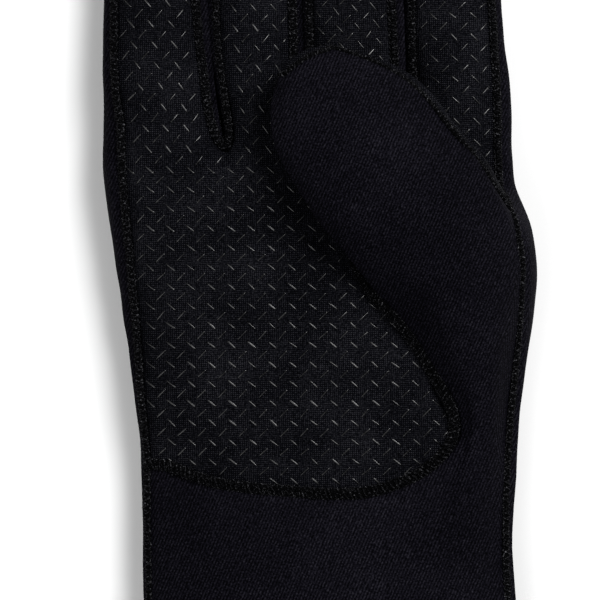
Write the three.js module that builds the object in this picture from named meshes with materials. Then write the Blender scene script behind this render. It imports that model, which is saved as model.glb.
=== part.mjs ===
// A right-hand neoprene glove for diving, lying on its back with the thumb folded over the palm.
// Millimetres. +X is the thumb side, +Y the fingertips, +Z out of the palm; the floor is z = 0.
//
// The skin is one control net of four-sided cells: a tube for the hand and cuff, four tubes for the fingers and one for the thumb.
// The net is smoothed, so that its surface passes through every point of the tables below, and is then cut along the seams
// into four panels, each given the thickness of the cloth.
import * as THREE from "three";

// ---------------------------------------------------------------- driving dimensions
const WALL = 3.0; // thickness of the neoprene
const SEAM_GAP = 0.5; // clear width of a seam between two panels
const ORIGIN = { x: 4.8, y: 10.9 }; // the middle of the glove's box, in the tables' own frame
const SMOOTHINGS = 1; // times that the net is divided
const EVEN_ROUNDS = 6; // rounds that even out the wall's direction
const FIT_ROUNDS = 10; // rounds that pull the smoothed surface onto the tables' points

// Finger sections are the same for each finger, as shares of its width and height.
const SEAM_AT = 0.82; // the two front seams, share of the half width
const SEAM_HIGH = 0.8; // height of those seams, share of the height
const SIDE_HIGH = 0.46; // height of the widest place, share of the height
const SOLE_AT = 0.56; // where the flat back begins, share of the half width
const SLIT = 0.1; // clear width between two fingers at their roots
const ROOT_SEAM = 2.0; // distance of the front seams from the middle of a crotch
// Two fingers side by side nest: the right side of one, widest high up, lies over the left side of the next, widest low down.
const NEST = { over: 0.63, under: 0.33, lap: 0.3 };
const TIP_BULGE = 0.9; // how far the middle of a fingertip's last section stands ahead of its sides
const TIP_SEAM = 2.4; // distance of the front panel's end from the fingertip

// One row a finger: centre and crotch height at its root, centre and end of its tip, widths and heights.
//              name      xRoot  yRoot  xTip   yTip   wRoot wTip  hRoot hTip
const FINGERS = [
  { name: "little", xRoot: -35.3, yRoot: 44.0, xTip: -38.0, yTip: 97.0, wRoot: 28.0, wTip: 21.2, hRoot: 17.5, hTip: 15.0 },
  { name: "ring", xRoot: -10.5, yRoot: 47.0, xTip: -13.2, yTip: 120.0, wRoot: 22.2, wTip: 20.2, hRoot: 18.0, hTip: 15.5 },
  { name: "middle", xRoot: 13.4, yRoot: 51.0, xTip: 10.5, yTip: 133.0, wRoot: 24.6, wTip: 20.6, hRoot: 18.5, hTip: 16.0 },
  { name: "index", xRoot: 39.3, yRoot: 50.0, xTip: 36.8, yTip: 122.0, wRoot: 25.4, wTip: 20.8, hRoot: 18.0, hTip: 15.5 },
];
// Sections along a finger: distance as a share of the length less a fixed distance from the tip, what is left of the width and height, and of the nesting.
const FINGER_SECTIONS = [
  { share: 0.2, fromTip: 0, wide: 1.0, high: 1.0, nested: 1 },
  { share: 0.52, fromTip: 0, wide: 1.0, high: 1.0, nested: 1 },
  { share: 1.0, fromTip: 13.5, wide: 1.0, high: 0.98, nested: 0.7 },
  { share: 1.0, fromTip: 4.8, wide: 0.85, high: 0.9, nested: 0 },
  { share: 1.0, fromTip: 1.0, wide: 0.46, high: 0.58, nested: 0 },
];
// Crotches between the fingers: the front edge's height, and how far the web stands above it at half height.
const CROTCHES = [
  { between: "little-ring", x: -19.3, y: 38.4, rise: 1.2 },
  { between: "ring-middle", x: 0.6, y: 49.6, rise: 1.2 },
  { between: "middle-index", x: 26.3, y: 48.4, rise: 1.2 },
];

// Sections of the hand and cuff, one row each, from the finger roots (row 0) down to the cuff's end.
// y at the little finger's side, the middle, the thenar line and the thumb's side; x of the outline and of the seam on either side
// and of the thenar line; heights of the side, the seam, the middle, the thenar line, the thenar and the thumb side's seam and side.
const HAND = [
  { yU: 45.5, yM: 40.0, yA: 50.0, yT: 51.0, xU: -49.3, xS: -45.2, xA: 13.0, xT: 49.6, xR: 52.4, zU: 8.0, zS: 14.0, zM: 18.0, zA: 18.4, zB: 18.3, zT: 14.2, zR: 8.2, even: 0 },
  { yU: 35.0, yM: 28.5, yA: 34.5, yT: 41.0, xU: -49.2, xS: -44.6, xA: 12.7, xT: 49.6, xR: 52.7, zU: 8.0, zS: 14.2, zM: 18.8, zA: 19.1, zB: 18.8, zT: 14.8, zR: 8.4, even: 0.45 },
  { yU: 23.0, yM: 19.5, yA: 22.5, yT: 34.0, xU: -48.3, xS: -44.0, xA: 12.5, xT: 49.8, xR: 53.1, zU: 8.0, zS: 14.3, zM: 19.5, zA: 19.7, zB: 19.1, zT: 15.4, zR: 8.9, even: 0.95 },
  { yU: 11.0, yM: 8.5, yA: 11.2, yT: 28.4, xU: -46.4, xS: -42.9, xA: 12.5, xT: 50.0, xR: 54.0, zU: 8.0, zS: 13.6, zM: 19.8, zA: 20.2, zB: 19.8, zT: 16.6, zR: 9.6, even: 1 },
  { yU: 2.5, yM: 0.5, yA: 3.7, yT: 22.6, xU: -44.8, xS: -42.0, xA: 16.5, xT: 53.0, xR: 56.6, zU: 7.8, zS: 12.8, zM: 19.8, zA: 20.0, zB: 27.0, zT: 21.4, zR: 11.0, even: 1 },
  { yU: -6.0, yM: -8.0, yA: -2.0, yT: 14.6, xU: -43.6, xS: -41.4, xA: 21.0, xT: 54.8, xR: 58.4, zU: 7.4, zS: 12.0, zM: 19.6, zA: 19.8, zB: 32.0, zT: 23.2, zR: 12.0, even: 1 },
  { yU: -15.5, yM: -18.5, yA: -10.0, yT: 3.0, xU: -41.9, xS: -40.6, xA: 27.6, xT: 55.6, xR: 58.9, zU: 6.4, zS: 11.2, zM: 19.2, zA: 19.3, zB: 30.0, zT: 21.5, zR: 11.5, even: 1 },
  { yU: -26.0, yM: -30.0, yA: -21.0, yT: -11.0, xU: -40.0, xS: -40.0, xA: 34.9, xT: 54.9, xR: 57.4, zU: 5.2, zS: 10.4, zM: 18.6, zA: 18.6, zB: 25.2, zT: 16.8, zR: 10.2, even: 1 },
  { yU: -37.5, yM: -42.5, yA: -33.5, yT: -28.5, xU: -38.2, xS: -38.7, xA: 39.6, xT: 52.9, xR: 55.0, zU: 4.6, zS: 9.4, zM: 17.8, zA: 17.8, zB: 20.0, zT: 12.8, zR: 8.8, even: 1 },
  { yU: -56.0, yM: -58.5, yA: -56.0, yT: -55.0, xU: -38.0, xS: -38.5, xA: 34.0, xT: 51.6, xR: 53.2, zU: 4.6, zS: 9.4, zM: 18.2, zA: 18.2, zB: 17.6, zT: 11.0, zR: 7.0, even: 1 },
  { yU: -84.0, yM: -84.5, yA: -84.0, yT: -84.0, xU: -37.3, xS: -37.8, xA: 30.0, xT: 52.6, xR: 53.8, zU: 4.8, zS: 9.8, zM: 19.2, zA: 19.0, zB: 18.0, zT: 11.2, zR: 6.6, even: 1 },
  { yU: -112.0, yM: -112.0, yA: -112.0, yT: -112.0, xU: -37.0, xS: -37.5, xA: 28.0, xT: 53.4, xR: 54.4, zU: 5.0, zS: 10.2, zM: 20.6, zA: 20.2, zB: 19.0, zT: 11.6, zR: 6.8, even: 1 },
];
const SHOULDER = [1, 0.4, 0.13, 0.03]; // how much of the drop from the middle to the side's seam is left at each net line
const FRONT = 12; // net lines along the front, three to a finger; the back has as many
const AROUND = 2 * FRONT + 2;
const SOLE_INSET = 7.0; // the flat back's edge, in from the outline

// The thumb leaves the hand between these net lines.
const THUMB_ROOT = { top: 3, bottom: 5, left: 7, right: 11 };
// Sections of the thumb, from its root fold to its tip: its left and right edge, and the heights of its outer face, edges and inner face.
const THUMB = [
  { xL: 8.6, yL: 14.6, xR: 46.6, yR: 34.0, zO: 36.0, zE: 29.6, zI: 23.4 },
  { xL: 3.2, yL: 21.6, xR: 39.9, yR: 41.8, zO: 36.8, zE: 29.4, zI: 22.6 },
  { xL: -2.7, yL: 31.4, xR: 31.6, yR: 52.0, zO: 36.4, zE: 28.8, zI: 21.8 },
  { xL: -6.8, yL: 43.2, xR: 21.2, yR: 59.2, zO: 35.0, zE: 27.8, zI: 21.2 },
  { xL: -5.8, yL: 54.4, xR: 9.2, yR: 63.2, zO: 31.4, zE: 27.0, zI: 22.6 },
];
// Where the net lines of the thumb lie across it, and how much of the height they keep.
const THUMB_LINES = [
  { across: 0.1, high: 0.66 },
  { across: 0.29, high: 0.94 },
  { across: 0.5, high: 1.0 },
  { across: 0.71, high: 0.94 },
  { across: 0.9, high: 0.66 },
];
const THUMB_TIP_BULGE = 1.6; // how far the middle of the last section stands ahead of its edges

// The seam between the grip cloth of the palm and the smooth panel: along the wrist, round the heel of the thumb and up the thenar line.
const WRIST_SEAM = [
  { x: -60.0, y: -36.0 }, { x: -38.0, y: -41.2 }, { x: -35.2, y: -40.6 }, { x: -31.8, y: -42.2 }, { x: -26.5, y: -44.2 },
  { x: -20.8, y: -45.8 }, { x: -13.2, y: -47.0 }, { x: -6.0, y: -47.5 }, { x: 2.2, y: -48.2 }, { x: 9.8, y: -48.5 },
  { x: 17.0, y: -48.2 }, { x: 20.8, y: -47.2 }, { x: 26.2, y: -45.5 }, { x: 31.8, y: -42.2 }, { x: 35.2, y: -39.5 },
  { x: 38.2, y: -36.5 }, { x: 39.8, y: -33.2 }, { x: 39.2, y: -30.5 }, { x: 38.2, y: -27.0 }, { x: 36.0, y: -23.0 },
  { x: 33.5, y: -19.5 }, { x: 31.8, y: -16.0 }, { x: 28.2, y: -10.5 }, { x: 24.5, y: -6.0 }, { x: 20.5, y: -1.2 },
  { x: 16.8, y: 3.5 }, { x: 12.5, y: 11.2 }, { x: 16.0, y: 9.6 }, { x: 52.0, y: 24.4 }, { x: 75.0, y: 25.0 },
];

const lerp = (a, b, t) => a + (b - a) * t;
const arc3 = (a, m, b, t) => lerp(lerp(a, 2 * m - (a + b) / 2, t), lerp(2 * m - (a + b) / 2, b, t), t); // a curve through a, m at the middle, and b

// ---------------------------------------------------------------- the control net
const points = [];
const cells = []; // { v: [point numbers], zone }
const addPoint = (x, y, z) => points.push([x, y, z]) - 1;
const addCell = (zone, ...v) => cells.push({ v, zone });

// A finger's section at a distance from its root: eight points, front seam, middle, front seam, side, back (3), side.
function fingerFrame(f) {
  const dx = f.xTip - f.xRoot, dy = f.yTip - f.yRoot, length = Math.hypot(dx, dy);
  return { length, ax: dx / length, ay: dy / length };
}
// Where a side of a finger would lie if it stood alone, and how much further it reaches to nest with its neighbour.
function sideX(f, side, y) {
  const t = (y - f.yRoot) / (f.yTip - f.yRoot);
  return lerp(f.xRoot, f.xTip, t) + (side * lerp(f.wRoot, f.wTip, t)) / 2;
}
function reach(i, side, y) {
  const next = FINGERS[i + side];
  if (!next) return 0;
  const gap = side * (sideX(next, -side, y) - sideX(FINGERS[i], side, y));
  return Math.max(0, (gap + NEST.lap) / 2);
}
function fingerRing(i, along, wide, high, bulge, nested) {
  const f = FINGERS[i];
  const { length, ax, ay } = fingerFrame(f), t = along / length;
  const half = (lerp(f.wRoot, f.wTip, t) * wide) / 2, h = lerp(f.hRoot, f.hTip, t);
  const low = ((1 - high) * h) / 2, tall = h * high;
  const cx = f.xRoot + ax * along, cy = f.yRoot + ay * along;
  const at = (side, z) => {
    const ahead = side === 0 ? bulge : 0, out = side * half + (Math.abs(side) === 1 ? side * nested * reach(i, side, cy) : 0);
    return [cx + ay * out + ax * ahead, cy - ax * out + ay * ahead, low + z * tall];
  };
  const right = lerp(SIDE_HIGH, i < 3 ? NEST.over : SIDE_HIGH, nested), left = lerp(SIDE_HIGH, i ? NEST.under : SIDE_HIGH, nested);
  return [at(-SEAM_AT, SEAM_HIGH), at(0, 1), at(SEAM_AT, SEAM_HIGH), at(1, right), at(SOLE_AT, 0), at(0, 0), at(-SOLE_AT, 0), at(-1, left)];
}

// Net lines at the finger roots: each finger's own three, which the lower sections spread evenly.
const rootX = [], rootY = [];
FINGERS.forEach((f, i) => {
  const left = i ? CROTCHES[i - 1] : null, right = i < 3 ? CROTCHES[i] : null;
  rootX.push(left ? left.x + ROOT_SEAM : HAND[0].xS, f.xRoot, right ? right.x - ROOT_SEAM : HAND[0].xT);
  rootY.push(left ? left.y : HAND[0].yU, ((left ? left.y : HAND[0].yU) + (right ? right.y : HAND[0].yT)) / 2 + 0.8, right ? right.y : HAND[0].yT);
});

const net = HAND.map((row, r) => {
  const ring = [];
  for (let j = 0; j < FRONT; j++) {
    const inner = j <= THUMB_ROOT.left, u = inner ? j / THUMB_ROOT.left : (j - THUMB_ROOT.left) / (FRONT - 1 - THUMB_ROOT.left);
    const evenX = inner ? lerp(row.xS, row.xA, u) : lerp(row.xA, row.xT, u);
    const evenY = inner ? arc3(row.yU, row.yM, row.yA, u) : lerp(row.yA, row.yT, u);
    const shiftY = lerp(rootY[j] - (HAND[0].yU + HAND[0].yT) / 2, 0, Math.min(1, row.even * 1.3)) + lerp(row.yU, row.yT, j / (FRONT - 1));
    let z;
    if (j === 0) z = row.zS;
    else if (inner) z = lerp(row.zM, row.zA, u) - (row.zM - row.zS) * (SHOULDER[j] ?? 0);
    else z = arc3(row.zA, row.zB, row.zT, u);
    if (r === 0) z = j % 3 === 1 ? FINGERS[(j - 1) / 3].hRoot : FINGERS[Math.floor(j / 3)].hRoot * 0.86;
    if (r === 0 && (j === 0 || j === FRONT - 1)) z = j ? row.zT : row.zS;
    ring.push(addPoint(lerp(rootX[j], evenX, row.even), r === 0 ? rootY[j] : lerp(shiftY, evenY, row.even), z));
  }
  ring.push(addPoint(row.xR, row.yT, row.zR));
  for (let j = FRONT - 1; j >= 0; j--) {
    const u = j / (FRONT - 1);
    const evenX = lerp(row.xU + SOLE_INSET, row.xR - SOLE_INSET, u);
    const x = lerp(j === 0 ? row.xU + SOLE_INSET : j === FRONT - 1 ? row.xR - SOLE_INSET : rootX[j], evenX, row.even);
    const evenY = lerp(row.yU, row.yT, u), y = r === 0 ? rootY[j] : lerp(points[ring[j]][1], evenY, Math.max(row.even, 0.5));
    ring.push(addPoint(x, y, 0));
  }
  ring.push(addPoint(row.xU, row.yU, row.zU));
  return ring;
});
const inRoot = (r, j) => r >= THUMB_ROOT.top && r < THUMB_ROOT.bottom && j >= THUMB_ROOT.left && j < THUMB_ROOT.right;
for (let r = 0; r + 1 < net.length; r++)
  for (let j = 0; j < AROUND; j++) {
    if (inRoot(r, j)) continue;
    const k = (j + 1) % AROUND;
    addCell(j < FRONT - 1 ? "front" : "back", net[r][j], net[r + 1][j], net[r + 1][k], net[r][k]);
  }

// The webs between the fingers, and the fingers on them.
const webs = CROTCHES.map((c, i) => {
  const h = (FINGERS[i].hRoot + FINGERS[i + 1].hRoot) / 2;
  return [addPoint(c.x - SLIT / 2, c.y + c.rise, NEST.over * h), addPoint(c.x + SLIT / 2, c.y + c.rise, NEST.under * h)];
});
const backLine = (i, k) => FRONT + 1 + 3 * (3 - i) + (2 - k);
FINGERS.forEach((f, i) => {
  const { length } = fingerFrame(f);
  let ring = [net[0][3 * i], net[0][3 * i + 1], net[0][3 * i + 2], i < 3 ? webs[i][0] : net[0][FRONT], net[0][backLine(i, 2)], net[0][backLine(i, 1)], net[0][backLine(i, 0)], i ? webs[i - 1][1] : net[0][AROUND - 1]];
  FINGER_SECTIONS.forEach((s, k) => {
    const next = fingerRing(i, s.share * length - s.fromTip, s.wide, s.high, k === FINGER_SECTIONS.length - 1 ? TIP_BULGE : 0, s.nested).map((p) => addPoint(...p));
    for (let j = 0; j < 8; j++) addCell(j < 2 ? "finger" + i : "back", ring[j], ring[(j + 1) % 8], next[(j + 1) % 8], next[j]);
    ring = next;
  });
  const [p0, p1, p2, sr, b2, b1, b0, sl] = ring;
  addCell("back", p0, p1, b1, b0);
  addCell("back", p1, p2, b2, b1);
  addCell("back", p2, sr, b2);
  addCell("back", b0, sl, p0);
  if (i < 3) {
    addCell("back", net[0][3 * i + 2], net[0][3 * i + 3], webs[i][1], webs[i][0]);
    addCell("back", webs[i][0], webs[i][1], net[0][backLine(i + 1, 0)], net[0][backLine(i, 2)]);
  }
});

// The thumb: five net lines on its outer face, an edge, five on its inner face, an edge.
{
  const { top, bottom, left, right } = THUMB_ROOT;
  const outer = [], inner = [];
  for (let j = left; j <= right; j++) outer.push(net[bottom][j]);
  for (let j = right; j >= left; j--) inner.push(net[top][j]);
  let ring = [...outer, net[top + 1][right], ...inner, net[top + 1][left]];
  THUMB.forEach((s, k) => {
    const bulge = k === THUMB.length - 1 ? THUMB_TIP_BULGE : 0;
    const wx = s.xR - s.xL, wy = s.yR - s.yL, w = Math.hypot(wx, wy);
    const at = (u, z) => {
      const ahead = bulge * (1 - (2 * u - 1) ** 2);
      return addPoint(s.xL + wx * u - (wy / w) * ahead, s.yL + wy * u + (wx / w) * ahead, z);
    };
    const next = [
      ...THUMB_LINES.map((l) => at(l.across, lerp(s.zE, s.zO, l.high))),
      at(1, s.zE),
      ...[...THUMB_LINES].reverse().map((l) => at(l.across, lerp(s.zE, s.zI, l.high))),
      at(0, s.zE),
    ];
    for (let j = 0; j < 12; j++) addCell(j >= 5 && j < 10 ? "thumbIn" : "thumbOut", ring[j], ring[(j + 1) % 12], next[(j + 1) % 12], next[j]);
    ring = next;
  });
  const [o0, o1, o2, o3, o4, er, i4, i3, i2, i1, i0, el] = ring;
  addCell("thumbOut", o0, o1, i1, i0);
  addCell("thumbOut", o1, o2, i2, i1);
  addCell("thumbOut", o2, o3, i3, i2);
  addCell("thumbOut", o3, o4, i4, i3);
  addCell("thumbOut", o4, er, i4);
  addCell("thumbOut", i0, el, o0);
}

// ---------------------------------------------------------------- smoothing
// One round of division: a new point in each cell, one on each edge, and the old points drawn in.
const key = (a, b) => (a < b ? a * 65536 + b : b * 65536 + a);
function divide(pts, list) {
  const n = pts.length, out = pts.map(() => [0, 0, 0]);
  const mid = list.map(({ v }) => [0, 1, 2].map((c) => v.reduce((s, i) => s + pts[i][c], 0) / v.length));
  const edges = new Map(), around = pts.map(() => ({ cells: [], edges: [], rim: [] }));
  list.forEach(({ v }, f) =>
    v.forEach((a, q) => {
      const b = v[(q + 1) % v.length], k = key(a, b);
      if (!edges.has(k)) edges.set(k, { a, b, cells: [] });
      edges.get(k).cells.push(f);
      around[a].cells.push(f);
    }),
  );
  for (const e of edges.values()) {
    around[e.a].edges.push(e.b);
    around[e.b].edges.push(e.a);
    if (e.cells.length === 1) {
      around[e.a].rim.push(e.b);
      around[e.b].rim.push(e.a);
    }
  }
  for (let i = 0; i < n; i++)
    for (let c = 0; c < 3; c++) {
      const { cells: fs, edges: es, rim } = around[i], p = pts[i][c];
      if (rim.length) out[i][c] = (6 * p + pts[rim[0]][c] + pts[rim[1]][c]) / 8;
      else {
        const m = es.length;
        const F = fs.reduce((s, f) => s + mid[f][c], 0) / m, R = es.reduce((s, j) => s + (pts[j][c] + p) / 2, 0) / m;
        out[i][c] = (F + 2 * R + (m - 3) * p) / m;
      }
    }
  const cellAt = mid.map((m) => out.push(m) - 1);
  for (const e of edges.values())
    e.at =
      out.push(
        [0, 1, 2].map((c) => {
          const s = pts[e.a][c] + pts[e.b][c];
          return e.cells.length === 1 ? s / 2 : (s + mid[e.cells[0]][c] + mid[e.cells[1]][c]) / 4;
        }),
      ) - 1;
  const made = [];
  list.forEach(({ v, zone }, f) =>
    v.forEach((a, q) => {
      const before = v[(q + v.length - 1) % v.length], after = v[(q + 1) % v.length];
      made.push({ zone, v: [a, edges.get(key(a, after)).at, cellAt[f], edges.get(key(before, a)).at] });
    }),
  );
  return { pts: out, list: made };
}
// Where each point of an all four-sided net ends up on the smooth surface.
function limit(pts, list) {
  const sumE = pts.map(() => [0, 0, 0]), sumF = pts.map(() => [0, 0, 0]), count = new Int32Array(pts.length);
  const rim = pts.map(() => []), seen = new Map();
  list.forEach(({ v }) =>
    v.forEach((a, q) => {
      const b = v[(q + 1) % 4], d = v[(q + 2) % 4], k = key(a, b);
      seen.set(k, (seen.get(k) || 0) + 1);
      count[a]++;
      for (let c = 0; c < 3; c++) {
        sumE[a][c] += pts[b][c];
        sumF[a][c] += pts[d][c];
      }
    }),
  );
  list.forEach(({ v }) =>
    v.forEach((a, q) => {
      const b = v[(q + 1) % 4];
      if (seen.get(key(a, b)) === 1) {
        rim[a].push(b);
        rim[b].push(a);
      }
    }),
  );
  return pts.map((p, i) => {
    if (rim[i].length) return p.map((x, c) => (4 * x + pts[rim[i][0]][c] + pts[rim[i][1]][c]) / 6);
    const n = count[i];
    return p.map((x, c) => (n * n * x + 4 * sumE[i][c] + sumF[i][c]) / (n * (n + 5)));
  });
}
// The net is moved until its smooth surface passes through the tables' points.
let fitted = points.map((p) => [...p]);
for (let round = 0; round < FIT_ROUNDS; round++) {
  const { pts, list } = divide(fitted, cells);
  const at = limit(pts, list);
  fitted = fitted.map((p, i) => p.map((x, c) => x + 0.9 * (points[i][c] - at[i][c])));
}
let skin = { pts: fitted, list: cells };
for (let k = 0; k < SMOOTHINGS; k++) skin = divide(skin.pts, skin.list);
const surface = limit(skin.pts, skin.list).map(([x, y, z]) => [x, y, Math.max(0, z)]); // the back lies flat

// ---------------------------------------------------------------- normals and triangles
const sub = (a, b) => [a[0] - b[0], a[1] - b[1], a[2] - b[2]];
const cross = (a, b) => [a[1] * b[2] - a[2] * b[1], a[2] * b[0] - a[0] * b[2], a[0] * b[1] - a[1] * b[0]];
const unit = (a) => {
  const l = Math.hypot(...a) || 1;
  return a.map((x) => x / l);
};
const verts = surface.map((p) => ({ p, n: [0, 0, 0] }));
skin.list.forEach(({ v }) => {
  const n = cross(sub(surface[v[2]], surface[v[0]]), sub(surface[v[3]], surface[v[1]]));
  v.forEach((i) => n.forEach((x, c) => (verts[i].n[c] += x)));
});
verts.forEach((v) => (v.n = unit(v.n)));
// The wall's direction is evened out along the skin, so that the inner surface doesn't cross itself in the tight folds.
for (let round = 0; round < EVEN_ROUNDS; round++) {
  const sum = verts.map((v) => v.n.map((x) => x * 4));
  skin.list.forEach(({ v }) => v.forEach((i, q) => [1, 3].forEach((o) => verts[v[(q + o) % 4]].n.forEach((x, c) => (sum[i][c] += x / 2)))));
  verts.forEach((v, i) => (v.n = unit(sum[i])));
}
let triangles = [];
skin.list.forEach(({ v: [a, b, c, d], zone }) => {
  const ac = Math.hypot(...sub(surface[a], surface[c])), bd = Math.hypot(...sub(surface[b], surface[d]));
  if (ac <= bd) triangles.push({ zone, v: [a, b, c] }, { zone, v: [a, c, d] });
  else triangles.push({ zone, v: [a, b, d] }, { zone, v: [b, c, d] });
});

// ---------------------------------------------------------------- seams
// Signed distance to the wrist seam: more than 0 on the palm's side.
const PALM_OUTLINE = [...WRIST_SEAM, { x: 75.0, y: 160.0 }, { x: -60.0, y: 160.0 }];
function palmSide(x, y) {
  let best = Infinity, within = false;
  PALM_OUTLINE.forEach((a, i) => {
    const b = PALM_OUTLINE[(i + 1) % PALM_OUTLINE.length], ex = b.x - a.x, ey = b.y - a.y;
    const t = Math.min(1, Math.max(0, ((x - a.x) * ex + (y - a.y) * ey) / (ex * ex + ey * ey)));
    best = Math.min(best, Math.hypot(x - a.x - ex * t, y - a.y - ey * t));
    if (a.y > y !== b.y > y && x < a.x + ((y - a.y) / ey) * ex) within = !within;
  });
  return within ? best : -best;
}
// Signed distance to the round end of a finger's front panel.
function fingerSide(i, x, y) {
  const f = FINGERS[i], { length, ax, ay } = fingerFrame(f);
  const radius = (f.wTip / 2) * 0.9, centre = length - TIP_SEAM - radius;
  const s = (x - f.xRoot) * ax + (y - f.yRoot) * ay, t = (x - f.xRoot) * ay - (y - f.yRoot) * ax;
  return s < centre ? radius : radius - Math.hypot(s - centre, t);
}
const CUT = {
  front: { field: (p) => palmSide(p[0], p[1]), inside: "palm_panel", outside: "thumb_cuff_panel" },
  finger0: { field: (p) => fingerSide(0, p[0], p[1]), inside: "palm_panel", outside: "back_panel" },
  finger1: { field: (p) => fingerSide(1, p[0], p[1]), inside: "palm_panel", outside: "back_panel" },
  finger2: { field: (p) => fingerSide(2, p[0], p[1]), inside: "palm_panel", outside: "back_panel" },
  finger3: { field: (p) => fingerSide(3, p[0], p[1]), inside: "palm_panel", outside: "back_panel" },
};
const WHOLE = { back: "back_panel", thumbOut: "thumb_cuff_panel", thumbIn: "thumb_grip_panel" };

// Points near a seam slide along an edge onto it, and the triangles that it still crosses are cut there.
const SNAP = 0.3;
for (const [zone, { field }] of Object.entries(CUT)) {
  const mine = triangles.filter((t) => t.zone === zone), used = new Set(mine.flatMap((t) => t.v));
  const others = new Set(triangles.filter((t) => t.zone !== zone).flatMap((t) => t.v));
  const f = new Map([...used].map((i) => [i, field(verts[i].p)]));
  for (const t of mine)
    for (let q = 0; q < 3; q++) {
      const a = t.v[q], b = t.v[(q + 1) % 3];
      for (const [i, j] of [[a, b], [b, a]]) {
        const fi = f.get(i), fj = f.get(j);
        if (fi * fj >= 0 || fi === 0) continue;
        const s = fi / (fi - fj);
        if (s < SNAP && !(others.has(i) && !others.has(j))) {
          verts[i] = { p: verts[i].p.map((x, c) => lerp(x, verts[j].p[c], s)), n: unit(verts[i].n.map((x, c) => lerp(x, verts[j].n[c], s))) };
          f.set(i, 0);
        }
      }
    }
  for (const i of used) if (Math.abs(f.get(i)) < 0.02) f.set(i, 0);
  const cuts = new Map();
  const crossing = (a, b) => {
    const k = key(a, b);
    if (!cuts.has(k)) {
      const s = f.get(a) / (f.get(a) - f.get(b));
      verts.push({ p: verts[a].p.map((x, c) => lerp(x, verts[b].p[c], s)), n: unit(verts[a].n.map((x, c) => lerp(x, verts[b].n[c], s))) });
      cuts.set(k, verts.length - 1);
    }
    return cuts.get(k);
  };
  const kept = triangles.filter((t) => t.zone !== zone);
  for (const t of mine) {
    const s = t.v.map((i) => Math.sign(f.get(i)));
    const { inside, outside } = CUT[zone];
    const give = (sign, v) => kept.push({ zone, panel: sign > 0 ? inside : outside, v });
    if (s.every((x) => x >= 0)) give(s.some((x) => x > 0) ? 1 : field(t.v.reduce((m, i) => m.map((x, c) => x + verts[i].p[c] / 3), [0, 0, 0])), t.v);
    else if (s.every((x) => x <= 0)) give(-1, t.v);
    else {
      const z = s.indexOf(0);
      if (z >= 0) {
        const [a, b, c] = [t.v[z], t.v[(z + 1) % 3], t.v[(z + 2) % 3]], m = crossing(b, c);
        give(f.get(b), [a, b, m]);
        give(f.get(c), [a, m, c]);
      } else {
        const o = s.findIndex((x, q) => x !== s[(q + 1) % 3] && x !== s[(q + 2) % 3]);
        const [a, b, c] = [t.v[o], t.v[(o + 1) % 3], t.v[(o + 2) % 3]], m = crossing(a, b), w = crossing(a, c);
        give(f.get(a), [a, m, w]);
        give(f.get(b), [m, b, c]);
        give(f.get(b), [m, c, w]);
      }
    }
  }
  // Where the seam meets another zone, that zone's triangles take the same new point.
  triangles = [];
  for (const t of kept) {
    const q = t.zone === zone ? -1 : [0, 1, 2].find((e) => cuts.has(key(t.v[e], t.v[(e + 1) % 3]))) ?? -1;
    if (q < 0) triangles.push(t);
    else {
      const [a, b, c] = [t.v[q], t.v[(q + 1) % 3], t.v[(q + 2) % 3]], m = cuts.get(key(a, b));
      triangles.push({ ...t, v: [a, m, c] }, { ...t, v: [m, b, c] });
    }
  }
}
triangles.forEach((t) => (t.panel ??= WHOLE[t.zone]));

// ---------------------------------------------------------------- panels
// A panel is its stretch of the skin, drawn in from its seams by half their gap, a second surface one wall further in, and a rim.
function panelGeometry(name) {
  const mine = triangles.filter((t) => t.panel === name), open = new Map();
  for (const { v } of mine)
    for (let q = 0; q < 3; q++) {
      const a = v[q], b = v[(q + 1) % 3];
      if (!open.delete(b + ":" + a)) open.set(a + ":" + b, [a, b]);
    }
  const inward = new Map();
  for (const [a, b] of open.values()) {
    const e = unit(sub(verts[b].p, verts[a].p));
    for (const i of [a, b]) inward.set(i, [...(inward.get(i) || []), unit(cross(verts[i].n, e))]);
  }
  const number = new Map(), outer = [], inner = [];
  const place = (i) => {
    if (number.has(i)) return number.get(i);
    let p = verts[i].p;
    const dirs = inward.get(i);
    if (dirs) {
      const sum = dirs.reduce((s, d) => s.map((x, c) => x + d[c]), [0, 0, 0]), along = unit(sum);
      const lean = Math.max(0.5, along.reduce((s, x, c) => s + x * dirs[0][c], 0));
      p = p.map((x, c) => x + (along[c] * SEAM_GAP) / 2 / lean);
    }
    outer.push(p);
    inner.push(p.map((x, c) => x - verts[i].n[c] * WALL));
    number.set(i, outer.length - 1);
    return outer.length - 1;
  };
  const index = [];
  for (const { v } of mine) index.push(...v.map(place));
  const n = outer.length;
  for (let q = 0, m = index.length; q < m; q += 3) index.push(index[q] + n, index[q + 2] + n, index[q + 1] + n);
  for (const [a, b] of open.values()) {
    const A = number.get(a), B = number.get(b);
    index.push(B, A, A + n, B, A + n, B + n);
  }
  const flat = [...outer, ...inner].flatMap(([x, y, z]) => [x - ORIGIN.x, y - ORIGIN.y, z]);
  const geometry = new THREE.BufferGeometry();
  geometry.setAttribute("position", new THREE.Float32BufferAttribute(flat, 3));
  geometry.setIndex(index);
  geometry.computeVertexNormals();
  return geometry;
}

// ---------------------------------------------------------------- the glove
const glove = new THREE.Group();
const PANELS = [
  { name: "palm_panel", color: 0x1b1b1f, roughness: 0.85 },
  { name: "back_panel", color: 0x18181b, roughness: 0.9 },
  { name: "thumb_cuff_panel", color: 0x19181c, roughness: 0.9 },
  { name: "thumb_grip_panel", color: 0x1b1b1f, roughness: 0.85 },
];
for (const { name, color, roughness } of PANELS) {
  const mesh = new THREE.Mesh(panelGeometry(name), new THREE.MeshStandardMaterial({ color, roughness, metalness: 0 }));
  mesh.name = name;
  glove.add(mesh);
}

export default glove;
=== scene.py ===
import math

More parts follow.
